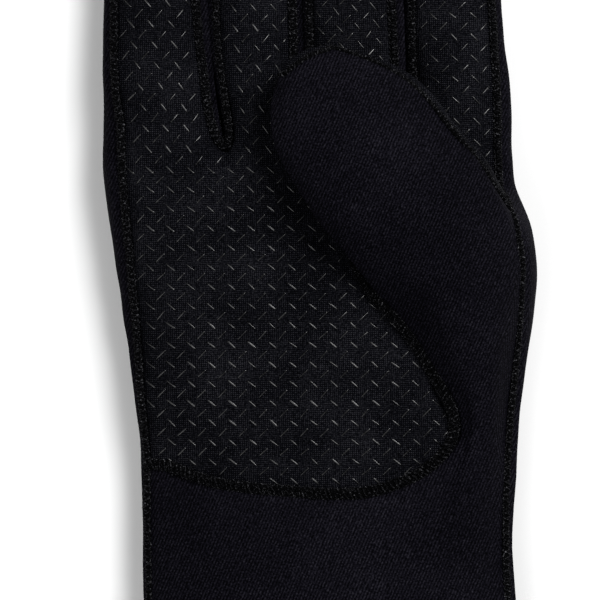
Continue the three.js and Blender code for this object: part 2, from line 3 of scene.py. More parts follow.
import bpy
import numpy as np
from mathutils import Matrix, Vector
from mathutils.bvhtree import BVHTree
from mathutils.kdtree import KDTree


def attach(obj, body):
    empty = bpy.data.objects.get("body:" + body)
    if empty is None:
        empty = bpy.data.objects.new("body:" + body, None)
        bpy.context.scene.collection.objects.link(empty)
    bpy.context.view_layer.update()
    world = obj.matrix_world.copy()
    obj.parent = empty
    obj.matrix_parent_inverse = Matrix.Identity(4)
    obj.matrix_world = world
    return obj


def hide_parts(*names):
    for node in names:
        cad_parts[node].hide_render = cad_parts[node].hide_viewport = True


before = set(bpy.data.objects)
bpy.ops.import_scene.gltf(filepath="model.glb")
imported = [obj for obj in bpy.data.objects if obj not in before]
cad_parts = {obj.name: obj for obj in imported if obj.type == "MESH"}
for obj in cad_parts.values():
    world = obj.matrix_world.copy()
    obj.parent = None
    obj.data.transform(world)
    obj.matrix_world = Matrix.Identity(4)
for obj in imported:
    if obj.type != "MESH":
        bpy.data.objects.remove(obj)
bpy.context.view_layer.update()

# The tables are in millimetres, in a frame whose x, y origin is moved by ORIGIN from the row's. Positions that were read
# off the photograph use its pixels, a quarter of a millimetre each: x = (px - 300) / 4, y = (300 - py) / 4.
MM = 0.001
WALL = 3.0
SEAM_GAP = 0.5
ORIGIN = np.array([4.8, 10.9, 0.0])
EVEN_ROUNDS = 6
FIT_ROUNDS = 10
FINE = 2  # further divisions of the net, after the one that the CAD part has

SEAM_AT, SEAM_HIGH, SIDE_HIGH, SOLE_AT = 0.82, 0.8, 0.46, 0.56
SLIT, ROOT_SEAM, TIP_BULGE, TIP_SEAM = 0.1, 2.0, 0.9, 2.4
OVER, UNDER, LAP = 0.63, 0.33, 0.3  # how two fingers side by side nest
IN_AT, IN_HIGH = 0.9, 0.78  # a front seam with another finger beside it
RIM, BELOW = (0.975, 0.42), (0.985, 0.2)  # the thumb's right edge: its seam, and the widest place below that
FINGERS = [  # xRoot, yRoot, xTip, yTip, wRoot, wTip, hRoot, hTip
    (-35.3, 44.0, -38.0, 97.0, 28.0, 21.2, 17.5, 15.0),
    (-10.5, 47.0, -13.2, 120.0, 22.2, 20.2, 18.0, 15.5),
    (13.4, 51.0, 10.5, 133.0, 24.6, 20.6, 18.5, 16.0),
    (39.3, 50.0, 36.8, 122.0, 25.4, 20.8, 18.0, 15.5),
]
FINGER_SECTIONS = [  # share of the length, distance from the tip, width, height, nesting
    (0.2, 0.0, 1.0, 1.0, 1), (0.52, 0.0, 1.0, 1.0, 1), (1.0, 13.5, 1.0, 0.98, 0.7), (1.0, 4.8, 0.85, 0.9, 0), (1.0, 1.0, 0.46, 0.58, 0),
]
CROTCHES = [(-19.3, 40.2, 1.2), (0.6, 49.6, 1.2), (26.3, 48.4, 1.2)]  # x, y, rise
HAND_COLUMNS = "yU yM yA yT xU xS xA xT xR zU zS zM zA zB zT zR even".split()
HAND = [dict(zip(HAND_COLUMNS, row)) for row in [
    (45.5, 40.0, 50.0, 51.0, -49.3, -45.2, 13.0, 49.6, 52.4, 8.0, 14.0, 18.0, 18.4, 18.3, 14.2, 8.2, 0),
    (35.0, 28.5, 34.5, 41.0, -49.2, -44.6, 12.7, 49.6, 52.7, 8.0, 14.2, 18.8, 19.1, 18.8, 14.8, 8.4, 0.45),
    (23.0, 19.5, 22.5, 34.0, -48.3, -44.0, 12.5, 49.8, 53.1, 8.0, 14.3, 19.5, 19.7, 19.1, 15.4, 8.9, 0.95),
    (11.0, 8.5, 11.2, 28.4, -46.4, -42.9, 12.5, 50.0, 54.0, 8.0, 13.6, 19.8, 20.2, 19.8, 16.6, 9.6, 1),
    (2.5, 0.5, 3.7, 22.6, -44.8, -42.0, 16.5, 53.0, 56.6, 7.8, 12.8, 19.8, 20.0, 27.0, 21.4, 11.0, 1),
    (-6.0, -8.0, -2.0, 14.6, -43.6, -41.4, 21.0, 54.8, 58.4, 7.4, 12.0, 19.6, 19.8, 32.0, 23.2, 12.0, 1),
    (-15.5, -18.5, -10.0, 3.0, -41.9, -40.6, 27.6, 55.6, 58.9, 6.4, 11.2, 19.2, 19.3, 30.0, 21.5, 11.5, 1),
    (-26.0, -30.0, -21.0, -11.0, -40.0, -40.0, 34.9, 54.9, 57.4, 5.2, 10.4, 18.6, 18.6, 25.2, 16.8, 10.2, 1),
    (-37.5, -42.5, -33.5, -28.5, -38.2, -38.7, 39.6, 52.9, 55.0, 4.6, 9.4, 17.8, 17.8, 20.0, 12.8, 8.8, 1),
    (-56.0, -58.5, -56.0, -55.0, -38.0, -38.5, 34.0, 51.6, 53.2, 4.6, 9.4, 18.2, 18.2, 17.6, 11.0, 7.0, 1),
    (-84.0, -84.5, -84.0, -84.0, -37.3, -37.8, 30.0, 52.6, 53.8, 4.8, 9.8, 19.2, 19.0, 18.0, 11.2, 6.6, 1),
    (-112.0, -112.0, -112.0, -112.0, -37.0, -37.5, 28.0, 53.4, 54.4, 5.0, 10.2, 20.6, 20.2, 19.0, 11.6, 6.8, 1),
]]
SHOULDER = [1, 0.4, 0.13, 0.03]
FRONT = 12
AROUND = 2 * FRONT + 2
SOLE_INSET = 7.0
TOP, BOTTOM, LEFT, RIGHT = 3, 5, 7, 11  # the thumb's root, in rows and net lines
THUMB = [  # xL, yL, xR, yR, zO, zE, zI, and the left seam's place: across, down, and the rise of the edge above it
    (8.6, 14.6, 46.6, 34.0, 36.0, 29.6, 23.4, 0.1, 0.66, 0.0),
    (3.2, 21.6, 39.9, 41.8, 36.8, 29.4, 22.6, 0.1, 0.66, 0.0),
    (-2.7, 31.4, 31.6, 52.0, 36.4, 28.8, 21.8, 0.07, 0.5, 0.1),
    (-6.8, 43.2, 21.2, 59.2, 35.0, 27.8, 21.2, 0.02, 0.14, 0.3),
    (-5.8, 54.4, 9.2, 63.2, 31.4, 27.0, 22.6, 0.02, 0.12, 0.3),
]
THUMB_LINES = [(0.1, 0.66), (0.29, 0.94), (0.5, 1.0), (0.71, 0.94), (0.9, 0.66)]
THUMB_TIP_BULGE = 1.6
WRIST_SEAM = [
    (-60.0, -36.0), (-38.0, -41.2), (-35.2, -40.6), (-31.8, -42.2), (-26.5, -44.2), (-20.8, -45.8), (-13.2, -47.0),
    (-6.0, -47.5), (2.2, -48.2), (9.8, -48.5), (17.0, -48.2), (20.8, -47.2), (26.2, -45.5), (31.8, -42.2), (35.2, -39.5),
    (38.2, -36.5), (39.8, -33.2), (39.2, -30.5), (38.2, -27.0), (36.0, -23.0), (33.5, -19.5), (31.8, -16.0),
    (28.2, -10.5), (24.5, -6.0), (20.5, -1.2), (16.8, 3.5), (12.5, 11.2), (16.0, 9.6), (52.0, 24.4), (75.0, 25.0),
]
CORNER = (12.5, 11.2)  # where the seam turns in under the thumb

PANELS = ["palm_panel", "back_panel", "thumb_cuff_panel", "thumb_grip_panel"]


def lerp(a, b, t):
    return a + (b - a) * t


def arc3(a, m, b, t):
    c = 2 * m - (a + b) / 2
    return lerp(lerp(a, c, t), lerp(c, b, t), t)


def unit(a):
    return a / np.maximum(np.linalg.norm(a, axis=-1, keepdims=True), 1e-12)


# ---------------------------------------------------------------- the control net, as in the CAD part
points, cells, zones = [], [], []


def add_point(x, y, z):
    points.append((x, y, z))
    return len(points) - 1


def add_cell(zone, *v):
    cells.append(v)
    zones.append(zone)


def finger_frame(f):
    dx, dy = f[2] - f[0], f[3] - f[1]
    length = math.hypot(dx, dy)
    return length, dx / length, dy / length


def side_x(f, side, y):
    t = (y - f[1]) / (f[3] - f[1])
    return lerp(f[0], f[2], t) + side * lerp(f[4], f[5], t) / 2


def reach(i, side, y):
    if not 0 <= i + side < 4:
        return 0.0
    gap = side * (side_x(FINGERS[i + side], -side, y) - side_x(FINGERS[i], side, y))
    return max(0.0, (gap + LAP) / 2)


def finger_ring(i, along, wide, high, bulge, nested):
    f = FINGERS[i]
    length, ax, ay = finger_frame(f)
    t = along / length
    half, h = lerp(f[4], f[5], t) * wide / 2, lerp(f[6], f[7], t)
    low, tall = (1 - high) * h / 2, h * high
    cx, cy = f[0] + ax * along, f[1] + ay * along

    def at(side, z):
        ahead = bulge if side == 0 else 0
        out = side * half + (side * nested * reach(i, side, cy) if abs(side) == 1 else 0)
        return cx + ay * out + ax * ahead, cy - ax * out + ay * ahead, low + z * tall

    right, left = lerp(SIDE_HIGH, OVER if i < 3 else SIDE_HIGH, nested), lerp(SIDE_HIGH, UNDER if i else SIDE_HIGH, nested)
    def seam_point(side, nests):
        return at(side * lerp(SEAM_AT, IN_AT if nests else SEAM_AT, nested), lerp(SEAM_HIGH, IN_HIGH if nests else SEAM_HIGH, nested))

    return [seam_point(-1, i > 0), at(0, 1), seam_point(1, i < 3), at(1, right), at(SOLE_AT, 0), at(0, 0), at(-SOLE_AT, 0), at(-1, left)]


def build_net():
    root_x, root_y = [], []
    for i, f in enumerate(FINGERS):
        left, right = (CROTCHES[i - 1] if i else None), (CROTCHES[i] if i < 3 else None)
        root_x += [left[0] + ROOT_SEAM if left else HAND[0]["xS"], f[0], right[0] - ROOT_SEAM if right else HAND[0]["xT"]]
        yl, yr = (left[1] if left else HAND[0]["yU"]), (right[1] if right else HAND[0]["yT"])
        root_y += [yl, (yl + yr) / 2 + 0.8, yr]
    net = []
    for r, row in enumerate(HAND):
        ring = []
        for j in range(FRONT):
            inner = j <= LEFT
            u = j / LEFT if inner else (j - LEFT) / (FRONT - 1 - LEFT)
            even_x = lerp(row["xS"], row["xA"], u) if inner else lerp(row["xA"], row["xT"], u)
            even_y = arc3(row["yU"], row["yM"], row["yA"], u) if inner else lerp(row["yA"], row["yT"], u)
            shift_y = lerp(root_y[j] - (HAND[0]["yU"] + HAND[0]["yT"]) / 2, 0, min(1, row["even"] * 1.3)) + lerp(row["yU"], row["yT"], j / (FRONT - 1))
            if j == 0:
                z = row["zS"]
            elif inner:
                z = lerp(row["zM"], row["zA"], u) - (row["zM"] - row["zS"]) * (SHOULDER[j] if j < len(SHOULDER) else 0)
            else:
                z = arc3(row["zA"], row["zB"], row["zT"], u)
            if r == 0:
                z = FINGERS[(j - 1) // 3][6] if j % 3 == 1 else FINGERS[j // 3][6] * 0.86
                if j in (0, FRONT - 1):
                    z = row["zT"] if j else row["zS"]
            ring.append(add_point(lerp(root_x[j], even_x, row["even"]), root_y[j] if r == 0 else lerp(shift_y, even_y, row["even"]), z))
        ring.append(add_point(row["xR"], row["yT"], row["zR"]))
        for j in range(FRONT - 1, -1, -1):
            u = j / (FRONT - 1)
            even_x = lerp(row["xU"] + SOLE_INSET, row["xR"] - SOLE_INSET, u)
            start = row["xU"] + SOLE_INSET if j == 0 else row["xR"] - SOLE_INSET if j == FRONT - 1 else root_x[j]
            y = root_y[j] if r == 0 else lerp(points[ring[j]][1], lerp(row["yU"], row["yT"], u), max(row["even"], 0.5))
            ring.append(add_point(lerp(start, even_x, row["even"]), y, 0))
        ring.append(add_point(row["xU"], row["yU"], row["zU"]))
        net.append(ring)
    for r in range(len(net) - 1):
        for j in range(AROUND):
            if TOP <= r < BOTTOM and LEFT <= j < RIGHT:
                continue
            k = (j + 1) % AROUND
            add_cell("front" if j < FRONT - 1 else "back", net[r][j], net[r + 1][j], net[r + 1][k], net[r][k])
    webs = []
    for i, (x, y, rise) in enumerate(CROTCHES):
        h = (FINGERS[i][6] + FINGERS[i + 1][6]) / 2
        webs.append((add_point(x - SLIT / 2, y + rise, OVER * h), add_point(x + SLIT / 2, y + rise, UNDER * h)))

    def back_line(i, k):
        return FRONT + 1 + 3 * (3 - i) + (2 - k)

    for i, f in enumerate(FINGERS):
        length = finger_frame(f)[0]
        n0 = net[0]
        ring = [n0[3 * i], n0[3 * i + 1], n0[3 * i + 2], webs[i][0] if i < 3 else n0[FRONT], n0[back_line(i, 2)], n0[back_line(i, 1)], n0[back_line(i, 0)], webs[i - 1][1] if i else n0[AROUND - 1]]
        for k, (share, from_tip, wide, high, nested) in enumerate(FINGER_SECTIONS):
            nxt = [add_point(*p) for p in finger_ring(i, share * length - from_tip, wide, high, TIP_BULGE if k == len(FINGER_SECTIONS) - 1 else 0, nested)]
            for j in range(8):
                add_cell("finger%d" % i if j < 2 else "back", ring[j], ring[(j + 1) % 8], nxt[(j + 1) % 8], nxt[j])
            ring = nxt
        p0, p1, p2, sr, b2, b1, b0, sl = ring
        add_cell("back", p0, p1, b1, b0)
        add_cell("back", p1, p2, b2, b1)
        add_cell("back", p2, sr, b2)
        add_cell("back", b0, sl, p0)
        if i < 3:
            add_cell("back", n0[3 * i + 2], n0[3 * i + 3], webs[i][1], webs[i][0])
            add_cell("back", webs[i][0], webs[i][1], n0[back_line(i + 1, 0)], n0[back_line(i, 2)])
    ring = [net[BOTTOM][j] for j in range(LEFT, RIGHT + 1)] + [net[TOP + 1][RIGHT]] + [net[TOP][j] for j in range(RIGHT, LEFT - 1, -1)] + [net[TOP + 1][LEFT]]
    for k, (xl, yl, xr, yr, zo, ze, zi, seam_at, seam_low, edge) in enumerate(THUMB):
        bulge = THUMB_TIP_BULGE if k == len(THUMB) - 1 else 0
        wx, wy = xr - xl, yr - yl
        w = math.hypot(wx, wy)

        def at(u, z):
            ahead = bulge * (1 - (2 * u - 1) ** 2)
            return add_point(xl + wx * u - wy / w * ahead, yl + wy * u + wx / w * ahead, z)

        nxt = [at(a, lerp(ze, zo, h)) for a, h in THUMB_LINES] + [at(RIM[0], lerp(ze, zo, RIM[1])), at(BELOW[0], lerp(ze, zi, BELOW[1]))]
        nxt += [at(a, lerp(ze, zi, h)) for a, h in (THUMB_LINES[3], THUMB_LINES[2], THUMB_LINES[1])] + [at(seam_at, lerp(ze, zi, seam_low)), at(0, lerp(ze, zo, edge))]
        for j in range(12):
            add_cell("thumbIn" if 5 <= j < 10 else "thumbOut", ring[j], ring[(j + 1) % 12], nxt[(j + 1) % 12], nxt[j])
        ring = nxt
    o0, o1, o2, o3, o4, er, i4, i3, i2, i1, i0, el = ring
    for c in ((o0, o1, i1, i0), (o1, o2, i2, i1), (o2, o3, i3, i2), (o3, o4, i4, i3), (o4, er, i4)):
        add_cell("thumbIn", *c)
    add_cell("thumbOut", i0, el, o0)


build_net()
ZONES = ["front", "back", "finger0", "finger1", "finger2", "finger3", "thumbOut", "thumbIn"]


def divide_any(P, faces, zone):
    """One round of division of a net with cells of three or four sides."""
    n, m = len(P), len(faces)
    mid = np.array([P[list(v)].mean(0) for v in faces])
    edges, F, R = {}, np.zeros_like(P), np.zeros_like(P)
    for f, v in enumerate(faces):
        for q, a in enumerate(v):
            b = v[(q + 1) % len(v)]
            edges.setdefault((min(a, b), max(a, b)), []).append(f)
            F[a] += mid[f]
    val, rim = np.zeros(n), [[] for _ in range(n)]
    number, made = {}, []
    for (a, b), fs in edges.items():
        e = (P[a] + P[b]) / 2
        R[a] += e
        R[b] += e
        val[a] += 1
        val[b] += 1
        number[(a, b)] = n + m + len(made)
        if len(fs) == 1:
            rim[a].append(b)
            rim[b].append(a)
            made.append(e)
        else:
            made.append((P[a] + P[b] + mid[fs[0]] + mid[fs[1]]) / 4)
    k = val[:, None]
    out = (F / k + 2 * R / k + (k - 3) * P) / k
    for i, r in enumerate(rim):
        if r:
            out[i] = (6 * P[i] + P[r[0]] + P[r[1]]) / 8
    quads, new_zone = [], []
    for f, v in enumerate(faces):
        for q, a in enumerate(v):
            before, after = v[q - 1], v[(q + 1) % len(v)]
            quads.append((a, number[(min(a, after), max(a, after))], n + f, number[(min(a, before), max(a, before))]))
            new_zone.append(zone[f])
    return np.vstack([out, mid, np.array(made)]), np.array(quads), np.array(new_zone)


def edge_table(Q, n):
    a, b = Q.reshape(-1), np.roll(Q, -1, axis=1).reshape(-1)
    keys, inverse, count = np.unique(np.minimum(a, b).astype(np.int64) * n + np.maximum(a, b), return_inverse=True, return_counts=True)
    return keys // n, keys % n, inverse.reshape(-1), count


def sum_at(n, index, values):
    return np.stack([np.bincount(index, values[:, c], n) for c in range(values.shape[1])], 1)


def divide_quads(P, Q, zone):
    n, m = len(P), len(Q)
    mid = P[Q].mean(1)
    ea, eb, inv, count = edge_table(Q, n)
    rim = count == 1
    half = (P[ea] + P[eb]) / 2
    fsum = sum_at(len(ea), inv, np.repeat(mid, 4, axis=0))
    epts = np.where(rim[:, None], half, (P[ea] + P[eb] + fsum) / 4)
    val = np.bincount(ea, minlength=n) + np.bincount(eb, minlength=n)
    R = sum_at(n, ea, half) + sum_at(n, eb, half)
    F = sum_at(n, Q.reshape(-1), np.repeat(mid, 4, axis=0))
    k = val[:, None]
    out = (F / k + 2 * R / k + (k - 3) * P) / k
    on_rim = np.zeros(n, bool)
    on_rim[ea[rim]] = on_rim[eb[rim]] = True
    rsum = sum_at(n, ea[rim], P[eb[rim]]) + sum_at(n, eb[rim], P[ea[rim]])
    out[on_rim] = (6 * P[on_rim] + rsum[on_rim]) / 8
    e = n + m + inv.reshape(m, 4)
    face = n + np.arange(m)
    quads = np.stack([np.stack([Q[:, q], e[:, q], face, e[:, q - 1]], 1) for q in range(4)], 1).reshape(-1, 4)
    return np.vstack([out, mid, epts]), quads, np.repeat(zone, 4)


def limit(P, Q):
    n = len(P)
    sum_e = sum_at(n, Q.reshape(-1), P[np.roll(Q, -1, axis=1)].reshape(-1, P.shape[1]))
    sum_f = sum_at(n, Q.reshape(-1), P[np.roll(Q, -2, axis=1)].reshape(-1, P.shape[1]))
    count = np.bincount(Q.reshape(-1), minlength=n)[:, None]
    out = (count ** 2 * P + 4 * sum_e + sum_f) / (count * (count + 5))
    ea, eb, _, uses = edge_table(Q, n)
    rim = uses == 1
    on_rim = np.zeros(n, bool)
    on_rim[ea[rim]] = on_rim[eb[rim]] = True
    rsum = sum_at(n, ea[rim], P[eb[rim]]) + sum_at(n, eb[rim], P[ea[rim]])
    out[on_rim] = (4 * P[on_rim] + rsum[on_rim]) / 6
    return out


def quad_normals(P, Q):
    face = np.cross(P[Q[:, 2]] - P[Q[:, 0]], P[Q[:, 3]] - P[Q[:, 1]])
    return unit(sum_at(len(P), Q.reshape(-1), np.repeat(face, 4, axis=0)))


target = np.array(points, float)
fitted = target.copy()
zone0 = [ZONES.index(z) for z in zones]
for _ in range(FIT_ROUNDS):
    P, Q, Z = divide_any(fitted, cells, zone0)
    fitted = fitted + 0.9 * (target - limit(P, Q)[: len(fitted)])
P, Q, Z = divide_any(fitted, cells, zone0)
surface = limit(P, Q)
surface[:, 2] = np.maximum(surface[:, 2], 0)
N = quad_normals(surface, Q)
for _ in range(EVEN_ROUNDS):
    total = 4 * N
    for o in (1, 3):
        total += sum_at(len(N), Q.reshape(-1), N[np.roll(Q, -o, axis=1)].reshape(-1, 3)) / 2
    N = unit(total)
P = np.hstack([P, N])
for _ in range(FINE):
    P, Q, Z = divide_quads(P, Q, Z)
skin = limit(P[:, :3], Q)
skin[:, 2] = np.maximum(skin[:, 2], 0)
wall_dir = unit(P[:, 3:])
true_n = quad_normals(skin, Q)

# ---------------------------------------------------------------- seams cut into the skin


def smooth_line(line, times=4):
    """A curve through the points of a line."""
    p = np.array(line, float)
    out = []
    for i in range(len(p) - 1):
        a, b, c, d = p[max(i - 1, 0)], p[i], p[i + 1], p[min(i + 2, len(p) - 1)]
        for t in np.arange(times) / times:
            out.append(0.5 * (2 * b + (c - a) * t + (2 * a - 5 * b + 4 * c - d) * t * t + (3 * b - a - 3 * c + d) * t ** 3))
    return out + [p[-1]]


corner_at = WRIST_SEAM.index(CORNER)
OUTLINE = np.array([WRIST_SEAM[0]] + smooth_line(WRIST_SEAM[1 : corner_at + 1]) + WRIST_SEAM[corner_at + 1 :] + [(75.0, 160.0), (-60.0, 160.0)])


def palm_side(xy):
    a, b = OUTLINE, np.roll(OUTLINE, -1, axis=0)
    e = b - a
    d = xy[:, None] - a[None]
    t = np.clip((d * e).sum(-1) / (e * e).sum(-1), 0, 1)
    best = np.linalg.norm(d - e * t[..., None], axis=-1).min(1)
    crosses = (a[None, :, 1] > xy[:, None, 1]) != (b[None, :, 1] > xy[:, None, 1])
    at = a[None, :, 0] + (xy[:, None, 1] - a[None, :, 1]) / np.where(e[:, 1] == 0, 1e-9, e[:, 1]) * e[None, :, 0]
    within = (crosses & (xy[:, None, 0] < at)).sum(1) % 2 == 1
    return np.where(within, best, -best)


def finger_side(i, xy):
    f = FINGERS[i]
    length, ax, ay = finger_frame(f)
    radius = f[5] / 2 * 0.9
    centre = length - TIP_SEAM - radius
    s = (xy[:, 0] - f[0]) * ax + (xy[:, 1] - f[1]) * ay
    t = (xy[:, 0] - f[0]) * ay - (xy[:, 1] - f[1]) * ax
    return np.where(s < centre, radius, radius - np.hypot(s - centre, t))


ac = np.linalg.norm(skin[Q[:, 0]] - skin[Q[:, 2]], axis=1)
bd = np.linalg.norm(skin[Q[:, 1]] - skin[Q[:, 3]], axis=1)
triangles = []
for (a, b, c, d), short, z in zip(Q.tolist(), (ac <= bd).tolist(), Z.tolist()):
    pair = ((a, b, c), (a, c, d)) if short else ((a, b, d), (b, c, d))
    triangles += [(pair[0], z), (pair[1], z)]
VP, VW, VN = skin.tolist(), wall_dir.tolist(), true_n.tolist()
PALM, BACK, CUFF, GRIP = range(4)
CUT = {0: (palm_side, PALM, CUFF)}
for i in range(4):
    CUT[2 + i] = ((lambda i: lambda xy: finger_side(i, xy))(i), PALM, BACK)
WHOLE = {1: BACK, 6: CUFF, 7: GRIP}
panel_of = [None] * len(triangles)


def cut_zone(zone, field, inside, outside, tris):
    """Points near the seam slide onto it along an edge, and the triangles that it still crosses are cut there."""
    mine = [t for t, z, _ in tris if z == zone]
    used = sorted({i for t in mine for i in t})
    others = {i for t, z, _ in tris if z != zone for i in t}
    f = dict(zip(used, field(np.array([VP[i][:2] for i in used])).tolist()))

    def move(i, j, s):
        for table in (VP, VW, VN):
            p, q = table[i], table[j]
            table[i] = [p[c] + (q[c] - p[c]) * s for c in range(3)]

    for t in mine:
        for q in range(3):
            a, b = t[q], t[(q + 1) % 3]
            for i, j in ((a, b), (b, a)):
                fi, fj = f[i], f[j]
                if fi * fj >= 0:
                    continue
                s = fi / (fi - fj)
                if s < 0.3 and not (i in others and j not in others):
                    move(i, j, s)
                    f[i] = 0.0
    for i in used:
        if abs(f[i]) < 0.005:
            f[i] = 0.0
    cuts = {}

    def crossing(a, b):
        k = (min(a, b), max(a, b))
        if k not in cuts:
            s = f[a] / (f[a] - f[b])
            for table in (VP, VW, VN):
                p, q = table[a], table[b]
                table.append([p[c] + (q[c] - p[c]) * s for c in range(3)])
            cuts[k] = len(VP) - 1
        return cuts[k]

    kept = [t for t in tris if t[1] != zone]
    for t in mine:
        s = [(f[i] > 0) - (f[i] < 0) for i in t]
        if min(s) >= 0 or max(s) <= 0:
            total = sum(s)
            if total == 0:
                total = float(field(np.array([[sum(VP[i][0] for i in t) / 3, sum(VP[i][1] for i in t) / 3]]))[0])
            kept.append((t, zone, inside if total > 0 else outside))
        elif 0 in s:
            z = s.index(0)
            a, b, c = t[z], t[(z + 1) % 3], t[(z + 2) % 3]
            m = crossing(b, c)
            kept.append(((a, b, m), zone, inside if f[b] > 0 else outside))
            kept.append(((a, m, c), zone, inside if f[c] > 0 else outside))
        else:
            o = next(q for q in range(3) if s[q] != s[(q + 1) % 3] and s[q] != s[(q + 2) % 3])
            a, b, c = t[o], t[(o + 1) % 3], t[(o + 2) % 3]
            m, w = crossing(a, b), crossing(a, c)
            kept.append(((a, m, w), zone, inside if f[a] > 0 else outside))
            kept.append(((m, b, c), zone, inside if f[b] > 0 else outside))
            kept.append(((m, c, w), zone, inside if f[b] > 0 else outside))
    out = []
    for t, z, p in kept:
        if z != zone:
            hit = next((e for e in range(3) if (min(t[e], t[(e + 1) % 3]), max(t[e], t[(e + 1) % 3])) in cuts), None)
            if hit is not None:
                a, b, c = t[hit], t[(hit + 1) % 3], t[(hit + 2) % 3]
                m = cuts[(min(a, b), max(a, b))]
                out += [((a, m, c), z, p), ((m, b, c), z, p)]
                continue
        out.append((t, z, p))
    return out


tris = [(t, z, WHOLE.get(z)) for t, z in triangles]
for zone, (field, inside, outside) in CUT.items():
    tris = cut_zone(zone, field, inside, outside, tris)
T = np.array([t for t, _, _ in tris])
PANEL = np.array([p for _, _, p in tris])
base = np.array(VP)
wall_dir = unit(np.array(VW))
true_n = unit(np.array(VN))

# ---------------------------------------------------------------- the seams' lines
edge_panels = {}
for t, p in zip(T.tolist(), PANEL.tolist()):
    for q in range(3):
        a, b = t[q], t[(q + 1) % 3]
        edge_panels.setdefault((min(a, b), max(a, b)), []).append(p)
joined = {}
for (a, b), ps in edge_panels.items():
    if len(ps) == 2 and ps[0] != ps[1]:
        joined.setdefault((min(ps), max(ps)), []).append((a, b))


def chains(edges):
    near = {}
    for a, b in edges:
        near.setdefault(a, []).append(b)
        near.setdefault(b, []).append(a)
    left = {frozenset(e) for e in edges}
    out = []
    for start in sorted(near, key=lambda i: (len(near[i]) == 2, i)):
        while any(frozenset((start, j)) in left for j in near[start]):
            line = [start]
            while True:
                nxt = next((j for j in near[line[-1]] if frozenset((line[-1], j)) in left), None)
                if nxt is None:
                    break
                left.discard(frozenset((line[-1], nxt)))
                line.append(nxt)
                if len(near[nxt]) != 2:
                    break
            out.append(line)
    return out


class Line:
    """A seam's line on the skin: points at an even step, with the direction along it, out of the skin, and across it."""

    def __init__(self, p, n, step=0.4, smooth=14):
        p, n = np.array(p, float), np.array(n, float)
        for _ in range(smooth):
            p[1:-1] = p[1:-1] * 0.5 + (p[:-2] + p[2:]) * 0.25
            n[1:-1] = n[1:-1] * 0.5 + (n[:-2] + n[2:]) * 0.25
        d = np.r_[0, np.cumsum(np.linalg.norm(np.diff(p, axis=0), axis=1))]
        self.length = float(d[-1])
        s = np.linspace(0, self.length, max(2, round(self.length / step) + 1))
        self.s = s
        self.p = np.stack([np.interp(s, d, p[:, c]) for c in range(3)], 1)
        n = np.stack([np.interp(s, d, n[:, c]) for c in range(3)], 1)
        t = unit(np.gradient(self.p, axis=0))
        for _ in range(4):
            t[1:-1] = t[1:-1] * 0.5 + (t[:-2] + t[2:]) * 0.25
            n[1:-1] = n[1:-1] * 0.5 + (n[:-2] + n[2:]) * 0.25
        t = unit(t)
        self.n = unit(n - (n * t).sum(1, keepdims=True) * t)
        self.t = t
        self.b = np.cross(t, self.n)

    def at(self, s, x, y):
        s, x, y = np.broadcast_arrays(s, x, y)
        f = lambda a: np.stack([np.interp(s, self.s, a[:, c]) for c in range(3)], -1)
        return f(self.p) + f(self.b) * x[..., None] + f(self.n) * y[..., None]

    def normal(self, s):
        return np.stack([np.interp(s, self.s, self.n[:, c]) for c in range(3)], -1)


lines = {}
for pair, edges in joined.items():
    made = []
    for chain in chains(edges):
        p, n = base[chain], true_n[chain] + wall_dir[chain]
        if pair == (PALM, CUFF):
            at = int(np.argmin(np.hypot(p[:, 0] - CORNER[0], p[:, 1] - CORNER[1])))
            if 4 < at < len(chain) - 4:
                made += [Line(p[: at + 1], n[: at + 1]), Line(p[at:], n[at:])]
                continue
        if len(chain) > 4:
            made.append(Line(p, n))
    lines[pair] = made
    print("seam", [PANELS[i] for i in pair], [round(m.length, 1) for m in made])

# ---------------------------------------------------------------- the cloth's own shape
rng = np.random.default_rng(7)


def waves(p, size, count, seed):
    """A smooth uneven field from -1 to 1, with features of about that size in millimetres."""
    r = np.random.default_rng(seed)
    out = np.zeros(len(p))
    for _ in range(count):
        d = unit(r.normal(size=3))
        out += np.sin(p @ d * (2 * math.pi / (size * r.uniform(0.7, 1.5))) + r.uniform(0, 6.28))
    return out / math.sqrt(count) / 1.4


# How the cloth dips at each seam: depth on either side of the seam and reach, by pair of panels.
DIP = {(PALM, BACK): (1.15, 1.0, 1.7), (PALM, CUFF): (1.6, 0.95, 1.9), (BACK, CUFF): (0.6, 0.6, 1.7), (CUFF, GRIP): (0.55, 0.55, 1.4), (BACK, GRIP): (0.5, 0.5, 1.4), (PALM, GRIP): (0.6, 0.6, 1.6)}
vert_panels = [set() for _ in range(len(base))]
for t, p in zip(T.tolist(), PANEL.tolist()):
    for i in t:
        vert_panels[i].add(p)
drop = np.zeros(len(base))
for pair, (first, second, reach) in DIP.items():
    if not lines.get(pair):
        continue
    pts = np.vstack([l.p for l in lines[pair]])
    nrm = np.vstack([l.n for l in lines[pair]])
    kd = KDTree(len(pts))
    for i, p in enumerate(pts.tolist()):
        kd.insert(p, i)
    kd.balance()
    for i, ps in enumerate(vert_panels):
        if not ps & set(pair):
            continue
        _, at, dist = kd.find(base[i])
        if dist < 9 and float(nrm[at] @ true_n[i]) > -0.2:
            depth = first if pair[0] in ps and pair[1] not in ps else second if pair[1] in ps and pair[0] not in ps else (first + second) / 2
            drop[i] = max(drop[i], depth * math.exp(-((dist / reach) ** 2)) - 0.10 * math.exp(-(((dist - reach * 2.2) / 1.8) ** 2)))
lift = -drop
free = np.clip(base[:, 2] / 4.0, 0, 1)  # the part that lies on the floor stays flat
lift += free * (0.22 * waves(base, 26, 5, 3) + 0.07 * waves(base, 9, 6, 4))
